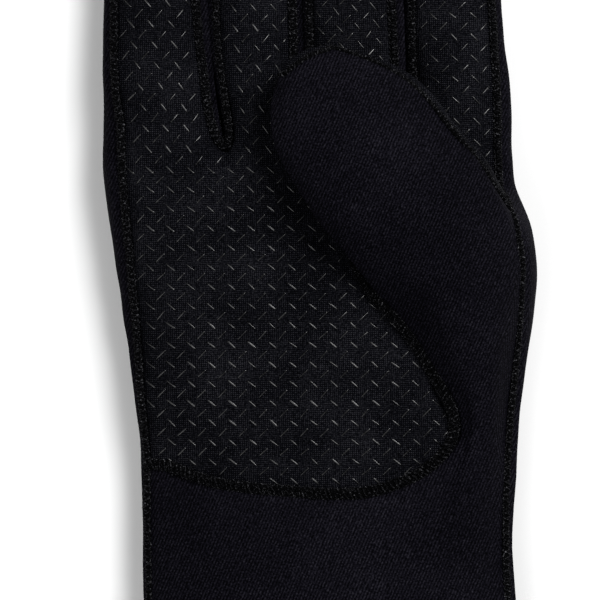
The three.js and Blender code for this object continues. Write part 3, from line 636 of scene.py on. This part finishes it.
# Creases: start, end, depth, half width, in the plane of the palm.
CREASES = [
    ((32.5, -19.6), (36.4, -28.6), 1.3, 0.9), ((29.0, -21.0), (33.0, -31.0), 0.35, 1.4), ((-33.0, 26.0), (-22.0, 29.0), 0.22, 2.0),
    ((-16.5, 33.0), (-9.0, 29.0), 0.35, 1.6), ((-22.0, 31.0), (-27.0, 24.0), 0.25, 1.8), ((2.0, 22.0), (8.0, 30.0), 0.3, 2.0),
    ((-37.0, -34.0), (-30.0, -38.0), 0.3, 1.5), ((22.0, -42.0), (31.0, -36.5), 0.3, 1.7),
]
up = base[:, 2] > 10
for a, b, depth, half in CREASES:
    a, b = np.array(a), np.array(b)
    e = b - a
    t = np.clip(((base[:, :2] - a) @ e) / (e @ e), 0, 1)
    d = np.linalg.norm(base[:, :2] - a - t[:, None] * e, axis=1)
    on_palm = np.array([PALM in ps for ps in vert_panels])
    lift -= np.where(up & on_palm, depth * np.exp(-((d / half) ** 2)) * np.sin(np.pi * np.clip(t * 0.9 + 0.05, 0, 1)) ** 0.5, 0)
# Where two fingers lie against each other, the cloth has no room to move.
whole = BVHTree.FromPolygons(base.tolist(), T.tolist())
for i in np.nonzero((base[:, 1] > 30) & (np.abs(true_n[:, 0]) > 0.3) & (base[:, 2] < 17))[0]:
    _, _, _, room = whole.ray_cast(Vector(base[i] + true_n[i] * 0.02), Vector(true_n[i]), 3.0)
    if room is not None:
        lift[i] = min(lift[i], 0.3 * room)
outer = base + true_n * lift[:, None]
outer[:, 2] = np.maximum(outer[:, 2], 0.02)
inner_all = base - wall_dir * WALL

# ---------------------------------------------------------------- building meshes


def mesh_object(name, verts, faces, materials, face_material=None, sharp=None):
    mesh = bpy.data.meshes.new(name)
    v = (np.asarray(verts, float) - ORIGIN) * MM
    mesh.from_pydata(v.tolist(), [], faces if isinstance(faces, list) else faces.tolist())
    for m in materials:
        mesh.materials.append(m)
    if face_material is not None:
        mesh.polygons.foreach_set("material_index", np.asarray(face_material, np.int32))
    mesh.polygons.foreach_set("use_smooth", np.ones(len(mesh.polygons), bool))
    mesh.update()
    if sharp:
        mesh.set_sharp_from_angle(angle=math.radians(sharp))
    o = bpy.data.objects.new(name, mesh)
    bpy.context.scene.collection.objects.link(o)
    return o


def tubes(paths, up, radius, sides):
    """Closed round tubes along many paths at once: paths and up are (tubes, points, 3), radius is (tubes, points) or less."""
    k, m, _ = paths.shape
    t = unit(np.gradient(paths, axis=1))
    b = unit(np.cross(t, up))
    n = np.cross(b, t)
    a = np.arange(sides) * (2 * math.pi / sides)
    r = np.broadcast_to(radius, (k, m))[:, :, None, None]
    v = paths[:, :, None] + r * (b[:, :, None] * np.cos(a)[:, None] + n[:, :, None] * np.sin(a)[:, None])
    v = v.reshape(-1, 3)
    start = (np.arange(k) * m * sides)[:, None, None]
    i, j = np.arange(m - 1)[:, None], np.arange(sides)
    q = (j + 1) % sides
    one = np.stack(np.broadcast_arrays(i * sides + j, i * sides + q, (i + 1) * sides + q, (i + 1) * sides + j), -1).reshape(-1, 4)
    quads = (start + one[None]).reshape(-1, 4)[:, ::-1]
    caps = np.vstack([start[:, 0] + np.arange(sides)[None], start[:, 0] + (m - 1) * sides + np.arange(sides)[None, ::-1]])
    return v, quads.tolist() + caps.tolist()


class Bundle:
    """Several meshes gathered into one piece."""

    def __init__(self):
        self.v, self.f, self.m, self.n = [], [], [], 0

    def add(self, v, f, material=0):
        v = np.asarray(v).reshape(-1, 3)
        self.v.append(v)
        self.f += [[i + self.n for i in face] for face in f]
        self.m += [material] * len(f)
        self.n += len(v)

    def build(self, name, materials):
        return mesh_object(name, np.vstack(self.v), self.f, materials, self.m)


# ---------------------------------------------------------------- materials


class Nodes:
    def __init__(self, name):
        self.material = bpy.data.materials.new(name)
        self.material.use_nodes = True
        self.tree = self.material.node_tree
        self.shader = self.tree.nodes["Principled BSDF"]

    def new(self, kind, **settings):
        node = self.tree.nodes.new(kind)
        for k, v in settings.items():
            setattr(node, k, v)
        return node

    def link(self, a, b):
        self.tree.links.new(a, b)

    def value(self, socket, v):
        socket.default_value = v

    def math(self, op, a, b=None, c=None):
        node = self.new("ShaderNodeMath", operation=op)
        for i, x in enumerate((a, b, c)):
            if x is None:
                continue
            if isinstance(x, (int, float)):
                node.inputs[i].default_value = x
            else:
                self.link(x, node.inputs[i])
        return node.outputs[0]

    def noise(self, vector, scale, detail=2.0, rough=0.5):
        node = self.new("ShaderNodeTexNoise")
        node.inputs["Scale"].default_value = scale
        node.inputs["Detail"].default_value = detail
        node.inputs["Roughness"].default_value = rough
        self.link(vector, node.inputs["Vector"])
        return node.outputs["Fac"]

    def bands(self, vector, axis, pitch, distortion=0.0):
        node = self.new("ShaderNodeTexWave", wave_type="BANDS", bands_direction=axis, wave_profile="SIN")
        node.inputs["Scale"].default_value = 2 * math.pi / 20 / pitch
        node.inputs["Distortion"].default_value = distortion
        node.inputs["Detail"].default_value = 1.0
        node.inputs["Detail Scale"].default_value = 1.5
        self.link(vector, node.inputs["Vector"])
        return node.outputs["Fac"]

    def ramp(self, fac, stops):
        node = self.new("ShaderNodeValToRGB")
        e = node.color_ramp.elements
        e[0].position, e[0].color = stops[0][0], (*stops[0][1], 1)
        e[1].position, e[1].color = stops[-1][0], (*stops[-1][1], 1)
        for pos, colour in stops[1:-1]:
            x = e.new(pos)
            x.color = (*colour, 1)
        self.link(fac, node.inputs["Fac"])
        return node.outputs["Color"]

    def bump(self, height, strength, distance, before=None):
        node = self.new("ShaderNodeBump")
        node.inputs["Strength"].default_value = strength
        node.inputs["Distance"].default_value = distance
        self.link(height, node.inputs["Height"])
        if before is not None:
            self.link(before, node.inputs["Normal"])
        return node.outputs["Normal"]

    def cloth_plane(self, turn_deg):
        """Coordinates that lie in the cloth: across and along the glove, or along and up on its steep sides."""
        coords = self.new("ShaderNodeTexCoord")
        geometry = self.new("ShaderNodeNewGeometry")
        split = self.new("ShaderNodeSeparateXYZ")
        self.link(coords.outputs["Object"], split.inputs[0])
        side = self.new("ShaderNodeCombineXYZ")
        self.link(split.outputs["Z"], side.inputs["X"])
        self.link(split.outputs["Y"], side.inputs["Y"])
        self.link(split.outputs["X"], side.inputs["Z"])
        direction = self.new("ShaderNodeSeparateXYZ")
        self.link(geometry.outputs["Normal"], direction.inputs[0])
        steep = self.math("GREATER_THAN", self.math("ABSOLUTE", direction.outputs["X"]), 0.78)
        mix = self.new("ShaderNodeMix", data_type="VECTOR")
        self.link(steep, mix.inputs["Factor"])
        self.link(coords.outputs["Object"], mix.inputs[4])
        self.link(side.outputs[0], mix.inputs[5])
        turn = self.new("ShaderNodeMapping")
        turn.inputs["Rotation"].default_value = (0, 0, math.radians(turn_deg))
        self.link(mix.outputs[1], turn.inputs["Vector"])
        return turn.outputs[0], coords.outputs["Object"]


def set_shader(n, rough, specular, sheen=0.0, sheen_rough=0.5, sheen_tint=(1, 1, 1)):
    s = n.shader
    s.inputs["Roughness"].default_value = rough
    s.inputs["Specular IOR Level"].default_value = specular
    s.inputs["Sheen Weight"].default_value = sheen
    s.inputs["Sheen Roughness"].default_value = sheen_rough
    s.inputs["Sheen Tint"].default_value = (*sheen_tint, 1)


def grip_cloth():
    """Fine jersey: columns and courses of small loops, mottled from loop to loop."""
    n = Nodes("grip_cloth")
    flat, space = n.cloth_plane(2.0)
    columns, courses = n.bands(flat, "X", 0.0005, 0.35), n.bands(flat, "Y", 0.0005, 0.35)
    loops = n.math("MULTIPLY", columns, courses)
    speckle = n.noise(space, 2600, 2.0, 0.6)
    patch = n.noise(space, 60, 3.0, 0.55)
    height = n.math("MULTIPLY_ADD", speckle, 0.9, loops)
    tone = n.math("MULTIPLY_ADD", patch, 0.5, n.math("MULTIPLY_ADD", speckle, 1.5, n.math("MULTIPLY", loops, 0.55)))
    colour = n.ramp(n.math("SUBTRACT", tone, 0.62), [(0.12, (0.0001, 0.0001, 0.0002)), (0.42, (0.0007, 0.0008, 0.0017)), (0.66, (0.0042, 0.0043, 0.0062)), (1.0, (0.026, 0.026, 0.031))])
    n.link(colour, n.shader.inputs["Base Color"])
    n.link(n.bump(height, 0.8, 0.00016), n.shader.inputs["Normal"])
    set_shader(n, 0.7, 0.02)
    return n.material


def smooth_cloth():
    """Fine diagonal ribs with the knit's small stitches along them."""
    n = Nodes("smooth_cloth")
    flat, space = n.cloth_plane(23.0)
    ribs, stitches = n.bands(flat, "X", 0.00076, 0.3), n.bands(flat, "Y", 0.00052, 0.5)
    speckle = n.noise(space, 2200, 2.0, 0.6)
    patch = n.noise(space, 45, 3.0, 0.5)
    height = n.math("MULTIPLY_ADD", speckle, 0.6, n.math("MULTIPLY_ADD", stitches, 0.25, ribs))
    tone = n.math("MULTIPLY_ADD", patch, 0.35, n.math("MULTIPLY_ADD", speckle, 1.7, n.math("MULTIPLY", ribs, 0.36)))
    colour = n.ramp(n.math("SUBTRACT", tone, 0.80), [(0.10, (0.0001, 0.0001, 0.0004)), (0.44, (0.0026, 0.0023, 0.0042)), (0.70, (0.0080, 0.0074, 0.0112)), (0.95, (0.019, 0.018, 0.024))])
    n.link(colour, n.shader.inputs["Base Color"])
    n.link(n.bump(height, 0.5, 0.00012), n.shader.inputs["Normal"])
    set_shader(n, 0.75, 0.02)
    return n.material


def seam_thread():
    """Soft textured thread, its fine fibres lighter and darker, with painted glints: its brightest specks stand for the
    sheen of the threads.
    """
    n = Nodes("seam_thread")
    coords = n.new("ShaderNodeTexCoord").outputs["Object"]
    fibre = n.noise(coords, 5200, 3.0, 0.7)
    clump = n.noise(coords, 2100, 2.0, 0.6)
    tone = n.math("MULTIPLY_ADD", clump, 1.5, n.math("MULTIPLY", fibre, 0.8))
    # The upper stops, up to 0.13, are painted glints of the thread's sheen; the lower ones are the fibres' own darker
    # and lighter tone.
    colour = n.ramp(n.math("SUBTRACT", tone, 0.70), [(0.25, (0.0001, 0.0001, 0.0002)), (0.48, (0.0026, 0.0026, 0.0032)), (0.64, (0.022, 0.022, 0.025)), (0.85, (0.13, 0.13, 0.14))])
    n.link(colour, n.shader.inputs["Base Color"])
    n.link(n.bump(fibre, 0.8, 0.00014), n.shader.inputs["Normal"])
    set_shader(n, 0.6, 0.03)
    return n.material


def bead_painted_shade():
    """The bead below the threads, in painted shade: a near-black copy of the thread's colour for the thread that lies
    in shadow there.
    """
    n = Nodes("seam_bead_painted_shade")
    coords = n.new("ShaderNodeTexCoord").outputs["Object"]
    fibre = n.noise(coords, 2600, 3.0, 0.7)
    # The near-black colour is painted shade: the bead is thread lying in the shadow of the threads over it.
    colour = n.ramp(fibre, [(0.4, (0.0001, 0.0001, 0.0002)), (0.8, (0.0030, 0.0030, 0.0036))])
    n.link(colour, n.shader.inputs["Base Color"])
    n.link(n.bump(fibre, 0.8, 0.00014), n.shader.inputs["Normal"])
    set_shader(n, 0.8, 0.02)
    return n.material


def grip_dash():
    """Raised glossy print."""
    n = Nodes("grip_dashes")
    coords = n.new("ShaderNodeTexCoord").outputs["Object"]
    uneven = n.noise(coords, 1900, 2.0, 0.5)
    colour = n.ramp(uneven, [(0.3, (0.0004, 0.0004, 0.0008)), (0.7, (0.0020, 0.0020, 0.0030))])
    n.link(colour, n.shader.inputs["Base Color"])
    n.link(n.bump(uneven, 0.2, 0.00010), n.shader.inputs["Normal"])
    set_shader(n, 0.21, 0.58)
    worn = n.noise(coords, 430, 1.0, 0.4)  # the print's gloss differs from dash to dash
    n.link(n.ramp(worn, [(0.36, (0.17, 0.17, 0.17)), (0.62, (0.42, 0.42, 0.42))]), n.shader.inputs["Roughness"])
    return n.material


def core():
    """The cut edge of the neoprene: fine closed cells."""
    n = Nodes("neoprene_core")
    coords = n.new("ShaderNodeTexCoord").outputs["Object"]
    cell = n.new("ShaderNodeTexVoronoi")
    cell.inputs["Scale"].default_value = 3200
    n.link(coords, cell.inputs["Vector"])
    colour = n.ramp(cell.outputs["Distance"], [(0.0, (0.0020, 0.0020, 0.0026)), (0.8, (0.0062, 0.0062, 0.0070))])
    n.link(colour, n.shader.inputs["Base Color"])
    n.link(n.bump(cell.outputs["Distance"], 0.6, 0.00012), n.shader.inputs["Normal"])
    set_shader(n, 0.9, 0.1)
    return n.material


GRIP_CLOTH, SMOOTH_CLOTH, THREAD_AND_GLINTS, BEAD_PAINTED_SHADE, DASH, CORE = grip_cloth(), smooth_cloth(), seam_thread(), bead_painted_shade(), grip_dash(), core()

# ---------------------------------------------------------------- the cloth panels
LOOKS = {PALM: GRIP_CLOTH, BACK: SMOOTH_CLOTH, CUFF: SMOOTH_CLOTH, GRIP: GRIP_CLOTH}
# Flat size of each cut piece, in metres, and its area in square metres.
FLAT = {PALM: (0.098, 0.182, 0.0130), BACK: (0.165, 0.258, 0.0300), CUFF: (0.112, 0.205, 0.0108), GRIP: (0.050, 0.064, 0.0023)}
CUT_EDGE = [(0.0, 0.0), (0.12, 0.30), (0.5, 0.55), (0.88, 0.30), (1.0, 0.0)]  # share of the wall, how far the cut edge stands out


def panel(which):
    mine = T[PANEL == which]
    open_edges = {}
    for v in mine.tolist():
        for q in range(3):
            a, b = v[q], v[(q + 1) % 3]
            if open_edges.pop((b, a), None) is None:
                open_edges[(a, b)] = True
    inward = {}
    for a, b in open_edges:
        e = unit(base[b] - base[a])
        for i in (a, b):
            inward.setdefault(i, []).append(unit(np.cross(wall_dir[i], e)))
    used = np.unique(mine)
    number = {int(i): k for k, i in enumerate(used)}
    out, inn = outer[used].copy(), inner_all[used].copy()
    shift = {}
    for i, dirs in inward.items():
        along = unit(np.sum(dirs, axis=0))
        shift[i] = along
        move = along * (SEAM_GAP / 2 / max(0.5, float(along @ dirs[0])))
        out[number[i]] += move
        inn[number[i]] += move
    n = len(used)
    index = np.vectorize(number.get)(mine)
    faces = np.vstack([index, index[:, ::-1] + n]).tolist()
    look = [0] * len(faces)
    verts = [out, inn]
    at = 2 * n
    mids = {}
    for i in inward:
        end = base[i][1] < -111.9
        a, b = out[number[i]], inn[number[i]]
        row = [number[i]]
        for share, bulge in CUT_EDGE[1:-1]:
            verts.append((a + (b - a) * share - shift[i] * (bulge if end else 0.0))[None])
            row.append(at)
            at += 1
        mids[i] = row + [number[i] + n]
    for a, b in open_edges:
        for k in range(len(CUT_EDGE) - 1):
            faces.append([mids[b][k], mids[a][k], mids[a][k + 1], mids[b][k + 1]])
            look.append(1)
    o = mesh_object(PANELS[which] + "_cloth", np.vstack(verts), faces, [LOOKS[which], CORE], look, sharp=50)
    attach(o, "root")
    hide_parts(PANELS[which])
    w, l, area = FLAT[which]
    print(o.name, "triangles", sum(len(f) - 2 for f in faces), "half area", round(sum(p.area for p in o.data.polygons) / 2, 5))
    return o


cloth = {k: panel(k) for k in (PALM, BACK, CUFF, GRIP)}
for k, o in cloth.items():
    w, l, area = FLAT[k]

# ---------------------------------------------------------------- the seams
# Each seam is a bead over the two edges, wrapped by crossing threads, with a looped thread down either side and loose fibres.
# half width, height, lobes, stitch pitch, thread radius, side loops, fibres a millimetre
STYLES = {
    (PALM, BACK): dict(half=0.86, high=0.66, lobes=1, pitch=1.5, thread=0.17, loops=True, fuzz=7),
    (PALM, CUFF): dict(half=1.15, high=0.75, lobes=2, pitch=1.2, thread=0.16, loops=True, fuzz=9),
    (BACK, CUFF): dict(half=0.80, high=0.62, lobes=1, pitch=1.6, thread=0.17, loops=True, fuzz=5),
    (BACK, GRIP): dict(half=0.70, high=0.45, lobes=1, pitch=1.8, thread=0.17, loops=False, fuzz=4),
    (CUFF, GRIP): dict(half=0.62, high=0.50, lobes=1, pitch=1.3, thread=0.16, loops=False, fuzz=7),
    (PALM, GRIP): dict(half=0.75, high=0.45, lobes=1, pitch=1.8, thread=0.17, loops=False, fuzz=4),
}
SINK = 0.35  # how far the seam's line lies below the skin's own surface


def crown(x, half, high, lobes):
    """Height of the bead over its width."""
    if lobes == 1:
        return high * np.sqrt(np.clip(1 - (x / half) ** 2, 0, 1))
    lobe = half / 2
    return high * np.sqrt(np.clip(1 - ((np.abs(x) - lobe) / lobe) ** 2, 0, 1))


def seam(line, style, bundle, seed):
    half, high, lobes = style["half"], style["high"], style["lobes"]
    r = np.random.default_rng(seed)
    L = line.length
    count = max(2, round(L / style["pitch"]))
    pitch = L / count
    # the bead, in the near-black material of painted shade
    s = np.linspace(0, L, max(4, round(L / 0.45)))
    around = 12
    a = np.linspace(0, 2 * math.pi, around, endpoint=False)
    wobble = 1 + 0.10 * np.sin(2 * math.pi * s / pitch) + 0.07 * np.interp(s, np.linspace(0, L, max(2, int(L / 3))), r.uniform(-1, 1, max(2, int(L / 3))))
    drift = np.interp(s, np.linspace(0, L, max(2, int(L / 6))), r.uniform(-0.14, 0.14, max(2, int(L / 6))))
    taper = np.clip(np.minimum(s, L - s) / 0.8 + 0.25, 0, 1)
    x = np.cos(a)[None] * half * (wobble * taper)[:, None]
    y = np.where(np.sin(a)[None] > 0, crown(np.clip(np.cos(a), -0.999, 0.999)[None] * half, half, high, lobes) * wobble[:, None], 1.1 * np.sin(a)[None]) * taper[:, None]
    pts = line.at(s[:, None], x + drift[:, None], y - SINK)
    m = len(s)
    i, j = np.arange(m - 1)[:, None], np.arange(around)
    q = (j + 1) % around
    quads = np.stack(np.broadcast_arrays(i * around + j, (i + 1) * around + j, (i + 1) * around + q, i * around + q), -1).reshape(-1, 4)
    bundle.add(pts, quads.tolist() + [list(range(around)), [(m - 1) * around + k for k in range(around - 1, -1, -1)]], 1)
    # the wrapping threads
    strands = []
    if lobes == 1:
        strands = [(0.0, 1.0, 0.0, 0.55), (0.0, -1.0, 0.5, 0.55)]
    else:
        strands = [(-0.5, 1.0, 0.0, 0.75), (0.5, 1.0, 0.35, 0.75)]
    t = np.linspace(0, 1, 10)
    for k, (centre, way, offset, lean) in enumerate(strands):
        width = half if lobes == 1 else half / 2
        s0 = (np.arange(count) + offset) * pitch + r.normal(0, 0.10 * pitch, count)
        s0 = np.clip(s0, 0.02, L - 0.02)
        ss = np.clip(s0[:, None] + t[None] * pitch * lean * r.uniform(0.8, 1.25, (count, 1)), 0.01, L - 0.01)
        xx = -way * np.cos(math.pi * t)[None] * width * 1.04
        over = style["thread"] * (0.75 if k == 0 else 1.25 if lobes == 1 else 0.75)
        yy = np.where(np.abs(xx) < width, high * np.sqrt(np.clip(1 - (xx / (width * 1.06)) ** 2, 0, 1)), 0) + over - 0.35 * (np.abs(np.cos(math.pi * t))[None] ** 10)
        path = line.at(ss, xx + centre * half + r.normal(0, 0.05, (count, 1)) + np.interp(ss, s, drift), yy - SINK + r.normal(0, 0.03, (count, 1)))
        v, f = tubes(path, line.normal(ss), style["thread"] * r.uniform(0.8, 1.15, (count, 1)) * (1 + 0.12 * np.sin(9 * t + 3 * k))[None], 5)
        bundle.add(v, f)
    # the looped threads down the sides
    if style["loops"]:
        for way in (-1, 1):
            steps = max(8, round(L / 0.42))
            ss = np.linspace(0.05, L - 0.05, steps)
            phase = 2 * math.pi * ss / pitch + (0 if way > 0 else 1.3)
            xx = way * (half + 0.10 + 0.24 * np.sin(phase)) + np.interp(ss, s, drift)
            yy = -0.18 + 0.16 * np.cos(phase) + np.interp(ss, np.linspace(0, L, max(2, int(L / 2))), r.uniform(-0.06, 0.06, max(2, int(L / 2))))
            path = line.at(ss, xx, yy - SINK * 0.6)[None]
            v, f = tubes(path, line.normal(ss)[None], 0.17 + 0.05 * np.sin(phase * 1.7)[None], 5)
            bundle.add(v, f)
    # loose fibres
    fibres = int(L * style["fuzz"])
    if fibres:
        s0 = r.uniform(0, L, fibres)
        x0 = r.uniform(-1, 1, fibres) * (half + 0.15)
        y0 = crown(np.clip(x0, -half * 0.99, half * 0.99), half, high, lobes) - SINK + 0.05
        t = np.linspace(0, 1, 4)[None]
        reach = r.uniform(0.4, 1.1, fibres)[:, None]
        turn = r.uniform(0, 2 * math.pi, fibres)[:, None]
        curl = r.normal(0, 1.6, fibres)[:, None]
        ss = s0[:, None] + reach * np.cos(turn + curl * t) * t
        xx = x0[:, None] + reach * np.sin(turn + curl * t) * t
        yy = y0[:, None] + style["thread"] + r.uniform(0.05, 0.45, fibres)[:, None] * np.sin(math.pi * 0.75 * t)
        ss = np.clip(ss, 0, L)
        v, f = tubes(line.at(ss, xx, yy), line.normal(ss), 0.045 * (1.15 - 0.6 * t), 3)
        loose.add(v, f)


groups = {"seam_palm_wrist": [(PALM, CUFF)], "seam_palm_back": [(PALM, BACK)], "seam_cuff_back": [(BACK, CUFF)], "seam_thumb": [(CUFF, GRIP), (PALM, GRIP), (BACK, GRIP)]}
loose = Bundle()
for name, pairs in groups.items():
    bundle = Bundle()
    for pair in pairs:
        for k, line in enumerate(lines.get(pair, [])):
            seam(line, STYLES[pair], bundle, 100 + 10 * pair[0] + 3 * pair[1] + k)
    # Material 0 is the thread with its painted glints, material 1 the bead's painted shade.
    o = bundle.build(name, [THREAD_AND_GLINTS, BEAD_PAINTED_SHADE])
    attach(o, "root")
    print(name, "triangles", sum(len(f) - 2 for f in bundle.f))

# The loose fibres share the thread colour with its painted glints.
o = loose.build("seam_fibres", [THREAD_AND_GLINTS])
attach(o, "root")
print("fibres, triangles", sum(len(f) - 2 for f in loose.f))

# ---------------------------------------------------------------- the grip's dashes
DASH_LONG, DASH_WIDE, DASH_HIGH = 3.1, 0.48, 0.26
seam_kd = KDTree(sum(len(l.p) for ls in lines.values() for l in ls))
k = 0
for ls in lines.values():
    for l in ls:
        for p in l.p.tolist():
            seam_kd.insert(p, k)
            k += 1
seam_kd.balance()


def photo(px, py):
    return (px - 300) / 4, (300 - py) / 4


def palm_sites():
    """Where the dashes of the palm and the fingers' fronts lie: x, y, angle in degrees."""
    sites = []

    def put(px, py, kind, steep):
        x, y = photo(px, py)
        sites.append((x, y, (-40 - steep) if kind == 0 else (45 + steep * 0.4)))

    for j in range(-11, 7):  # the palm
        for half in (0, 1):
            y = 384 + 19.45 * (j + half / 2)
            if y < 160:
                continue
            for i in range(-2, 20):
                u = i + half / 2
                put(171 + 20.4 * u - (384 - y) / 214 * (1 + 0.3 * u), y, half, 0)
    for k in range(1, 26):
        for half in (0, 1):
            y = 170 - 20.9 * (k - half / 2)
            lean = 0.10 * min(170 - y, 64) + 0.155 * min(max(106 - y, 0), 120) + 0.06 * max(-14 - y, 0)
            for i in range(-4, 3):  # little finger
                u = i + half / 2
                x = 170 + 20.3 * u - lean
                if x < 207 - 0.03 * (150 - y):
                    put(x, y, half, 12)
            y = 170 - 20.3 * (k - half / 2)
            lean = 0.155 * min(170 - y, 61) + 0.085 * min(max(109 - y, 0), 110) + 0.04 * max(-1 - y, 0)
            for i in range(0, 7):  # ring finger
                u = i + half / 2
                x = 170 + 20.3 * u - lean
                if 213 < x < 303 - 0.035 * (110 - y):
                    put(x, y, half, 12)
            y = 45.5 + 18.4 * (10 - k + half / 2)
            for i in range(-4, 5):  # middle finger
                u = i + half / 2
                x = 360.5 + 18.6 * u + 0.16 * (y - 45) if y > 0 else 360.5 + 18.6 * u - 7.3 + 0.035 * y
                if 303 + 0.0 * y < x < 402 - 0.035 * (110 - y) and y < 160:
                    put(x, y - 0.12 * (x - 350), half, 10)
            y = 121.5 + 21.2 * (3 - k + half / 2)
            for i in range(-3, 4):  # index finger
                u = i + half / 2
                x = 456.5 + 20.3 * u - 0.035 * (120 - y)
                if x > 403 - 0.035 * (110 - y) and y < 185:
                    put(x, y, half, 4)
    return sites


def conform(sites, tree, above, reach):
    """Raised dashes laid on a surface: each is a low dome whose stations are dropped onto it."""
    stations, ring = 7, [(-0.5, -0.10), (-0.36, 0.55), (0.0, 1.0), (0.36, 0.55), (0.5, -0.10)]
    t = np.linspace(-1, 1, stations)
    shape = np.sqrt(np.clip(1 - (np.abs(t) ** 3.0), 0.0, 1))
    bundle = Bundle()
    r = np.random.default_rng(21)
    kept = 0
    for x, y, angle in sites:
        angle = math.radians(angle + r.normal(0, 2.5))
        x, y = x + r.normal(0, 0.06), y + r.normal(0, 0.06)
        c, s = math.cos(angle), math.sin(angle)
        long = DASH_LONG * r.uniform(0.92, 1.05) / 2
        hits = []
        for u in t:
            hit, n, _, _ = tree.ray_cast(Vector((x + c * u * long, y + s * u * long, above)), Vector((0, 0, -1 if above > 50 else 1)))
            if hit is None or abs(n.z) < 0.34:
                break
            hits.append((np.array(hit), np.array(n)))
        if len(hits) < stations:
            continue
        if any(seam_kd.find(h)[2] < reach for h, _ in (hits[0], hits[3], hits[-1])):
            continue
        p = np.array([h for h, _ in hits])
        n = unit(np.array([k if k[2] * (1 if above > 50 else -1) > 0 else -k for _, k in hits]))
        n = np.vstack([n[:1] * 2 + n[1:2], (n[:-2] + n[1:-1] * 2 + n[2:]), n[-1:] * 2 + n[-2:-1]])
        n = unit(n)
        d = unit(np.gradient(p, axis=0))
        b = np.cross(d, n)
        tall, wide = DASH_HIGH * r.uniform(0.55, 1.15), DASH_WIDE * r.uniform(0.75, 1.1)
        f = np.maximum(shape, 0.30)
        rows = [p + b * (q * wide * f)[:, None] + n * (h * tall * (f if h > 0 else np.ones(stations)))[:, None] for q, h in ring]
        v = np.stack(rows, 1).reshape(-1, 3)
        m = len(ring)
        faces = []
        for i in range(stations - 1):
            for j in range(m):
                k = (j + 1) % m
                faces.append([i * m + j, (i + 1) * m + j, (i + 1) * m + k, i * m + k])
        faces.append(list(range(m)))
        faces.append([(stations - 1) * m + j for j in range(m - 1, -1, -1)])
        if above < 50:
            faces = [face[::-1] for face in faces]
        bundle.add(v, faces)
        kept += 1
    return bundle, kept


def panel_tree(which):
    return BVHTree.FromPolygons(outer.tolist(), T[PANEL == which].tolist())


bundle, kept = conform(palm_sites(), panel_tree(PALM), 100.0, 1.15)
o = bundle.build("palm_dashes", [DASH])
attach(o, "root")
print("palm dashes", kept, "triangles", sum(len(f) - 2 for f in bundle.f))
thumb_axis = unit(np.array([-0.72, 0.69]))
across = np.array([thumb_axis[1], -thumb_axis[0]])
sites = []
for j in range(-2, 12):
    for i in range(-5, 6):
        for half in (0, 1):
            q = np.array([25.0, 27.0]) + thumb_axis * (4.9 * (j + half / 2)) + across * (5.1 * (i + half / 2))
            sites.append((q[0], q[1], (-40 if half == 0 else 47) + 45))
bundle, kept = conform(sites, panel_tree(GRIP), 21.0 - 60.0, 1.15)
o = bundle.build("thumb_dashes", [DASH])
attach(o, "root")
print("thumb dashes", kept)

# ---------------------------------------------------------------- floor, light and camera
scene = bpy.context.scene
floor_mesh = bpy.data.meshes.new("floor")
floor_mesh.from_pydata([(-8, -8, 0), (8, -8, 0), (8, 8, 0), (-8, 8, 0)], [], [(0, 1, 2, 3)])
floor = bpy.data.objects.new("floor", floor_mesh)
scene.collection.objects.link(floor)
n = Nodes("floor")
n.shader.inputs["Base Color"].default_value = (0.93, 0.93, 0.93, 1)
n.shader.inputs["Roughness"].default_value = 0.9
n.shader.inputs["Specular IOR Level"].default_value = 0.1
floor_mesh.materials.append(n.material)

scene.world = bpy.data.worlds.new("studio")
scene.world.use_nodes = True
scene.world.node_tree.nodes["Background"].inputs["Color"].default_value = (1, 1, 1, 1)
scene.world.node_tree.nodes["Background"].inputs["Strength"].default_value = 0.22


def area(name, at, look, size, power):
    data = bpy.data.lights.new(name, "AREA")
    data.shape, data.size, data.size_y, data.energy = "RECTANGLE", size[0], size[1], power
    o = bpy.data.objects.new(name, data)
    scene.collection.objects.link(o)
    o.location = at
    o.rotation_mode = "QUATERNION"
    o.rotation_quaternion = (Vector(look) - Vector(at)).to_track_quat("-Z", "Y")
    o.visible_camera = False
    return o


area("key", (0.50, 0.42, 0.80), (0, 0, 0), (0.55, 0.55), 12.5)
area("fill", (-0.60, -0.40, 0.85), (0, 0, 0), (0.9, 0.9), 5.5)

camera = bpy.data.cameras.new("camera")
camera.sensor_width = 36.0
DISTANCE, FRAME_WIDTH, LEVEL = 3.0, 0.150, 0.018
camera.lens = 36.0 * DISTANCE / FRAME_WIDTH
camera.clip_start, camera.clip_end = 0.05, 30.0
eye = bpy.data.objects.new("camera", camera)
scene.collection.objects.link(eye)
eye.location = (-ORIGIN[0] * MM, -ORIGIN[1] * MM, DISTANCE + LEVEL)
scene.camera = eye
scene.view_settings.view_transform = "Standard"
scene.view_settings.look = "None"
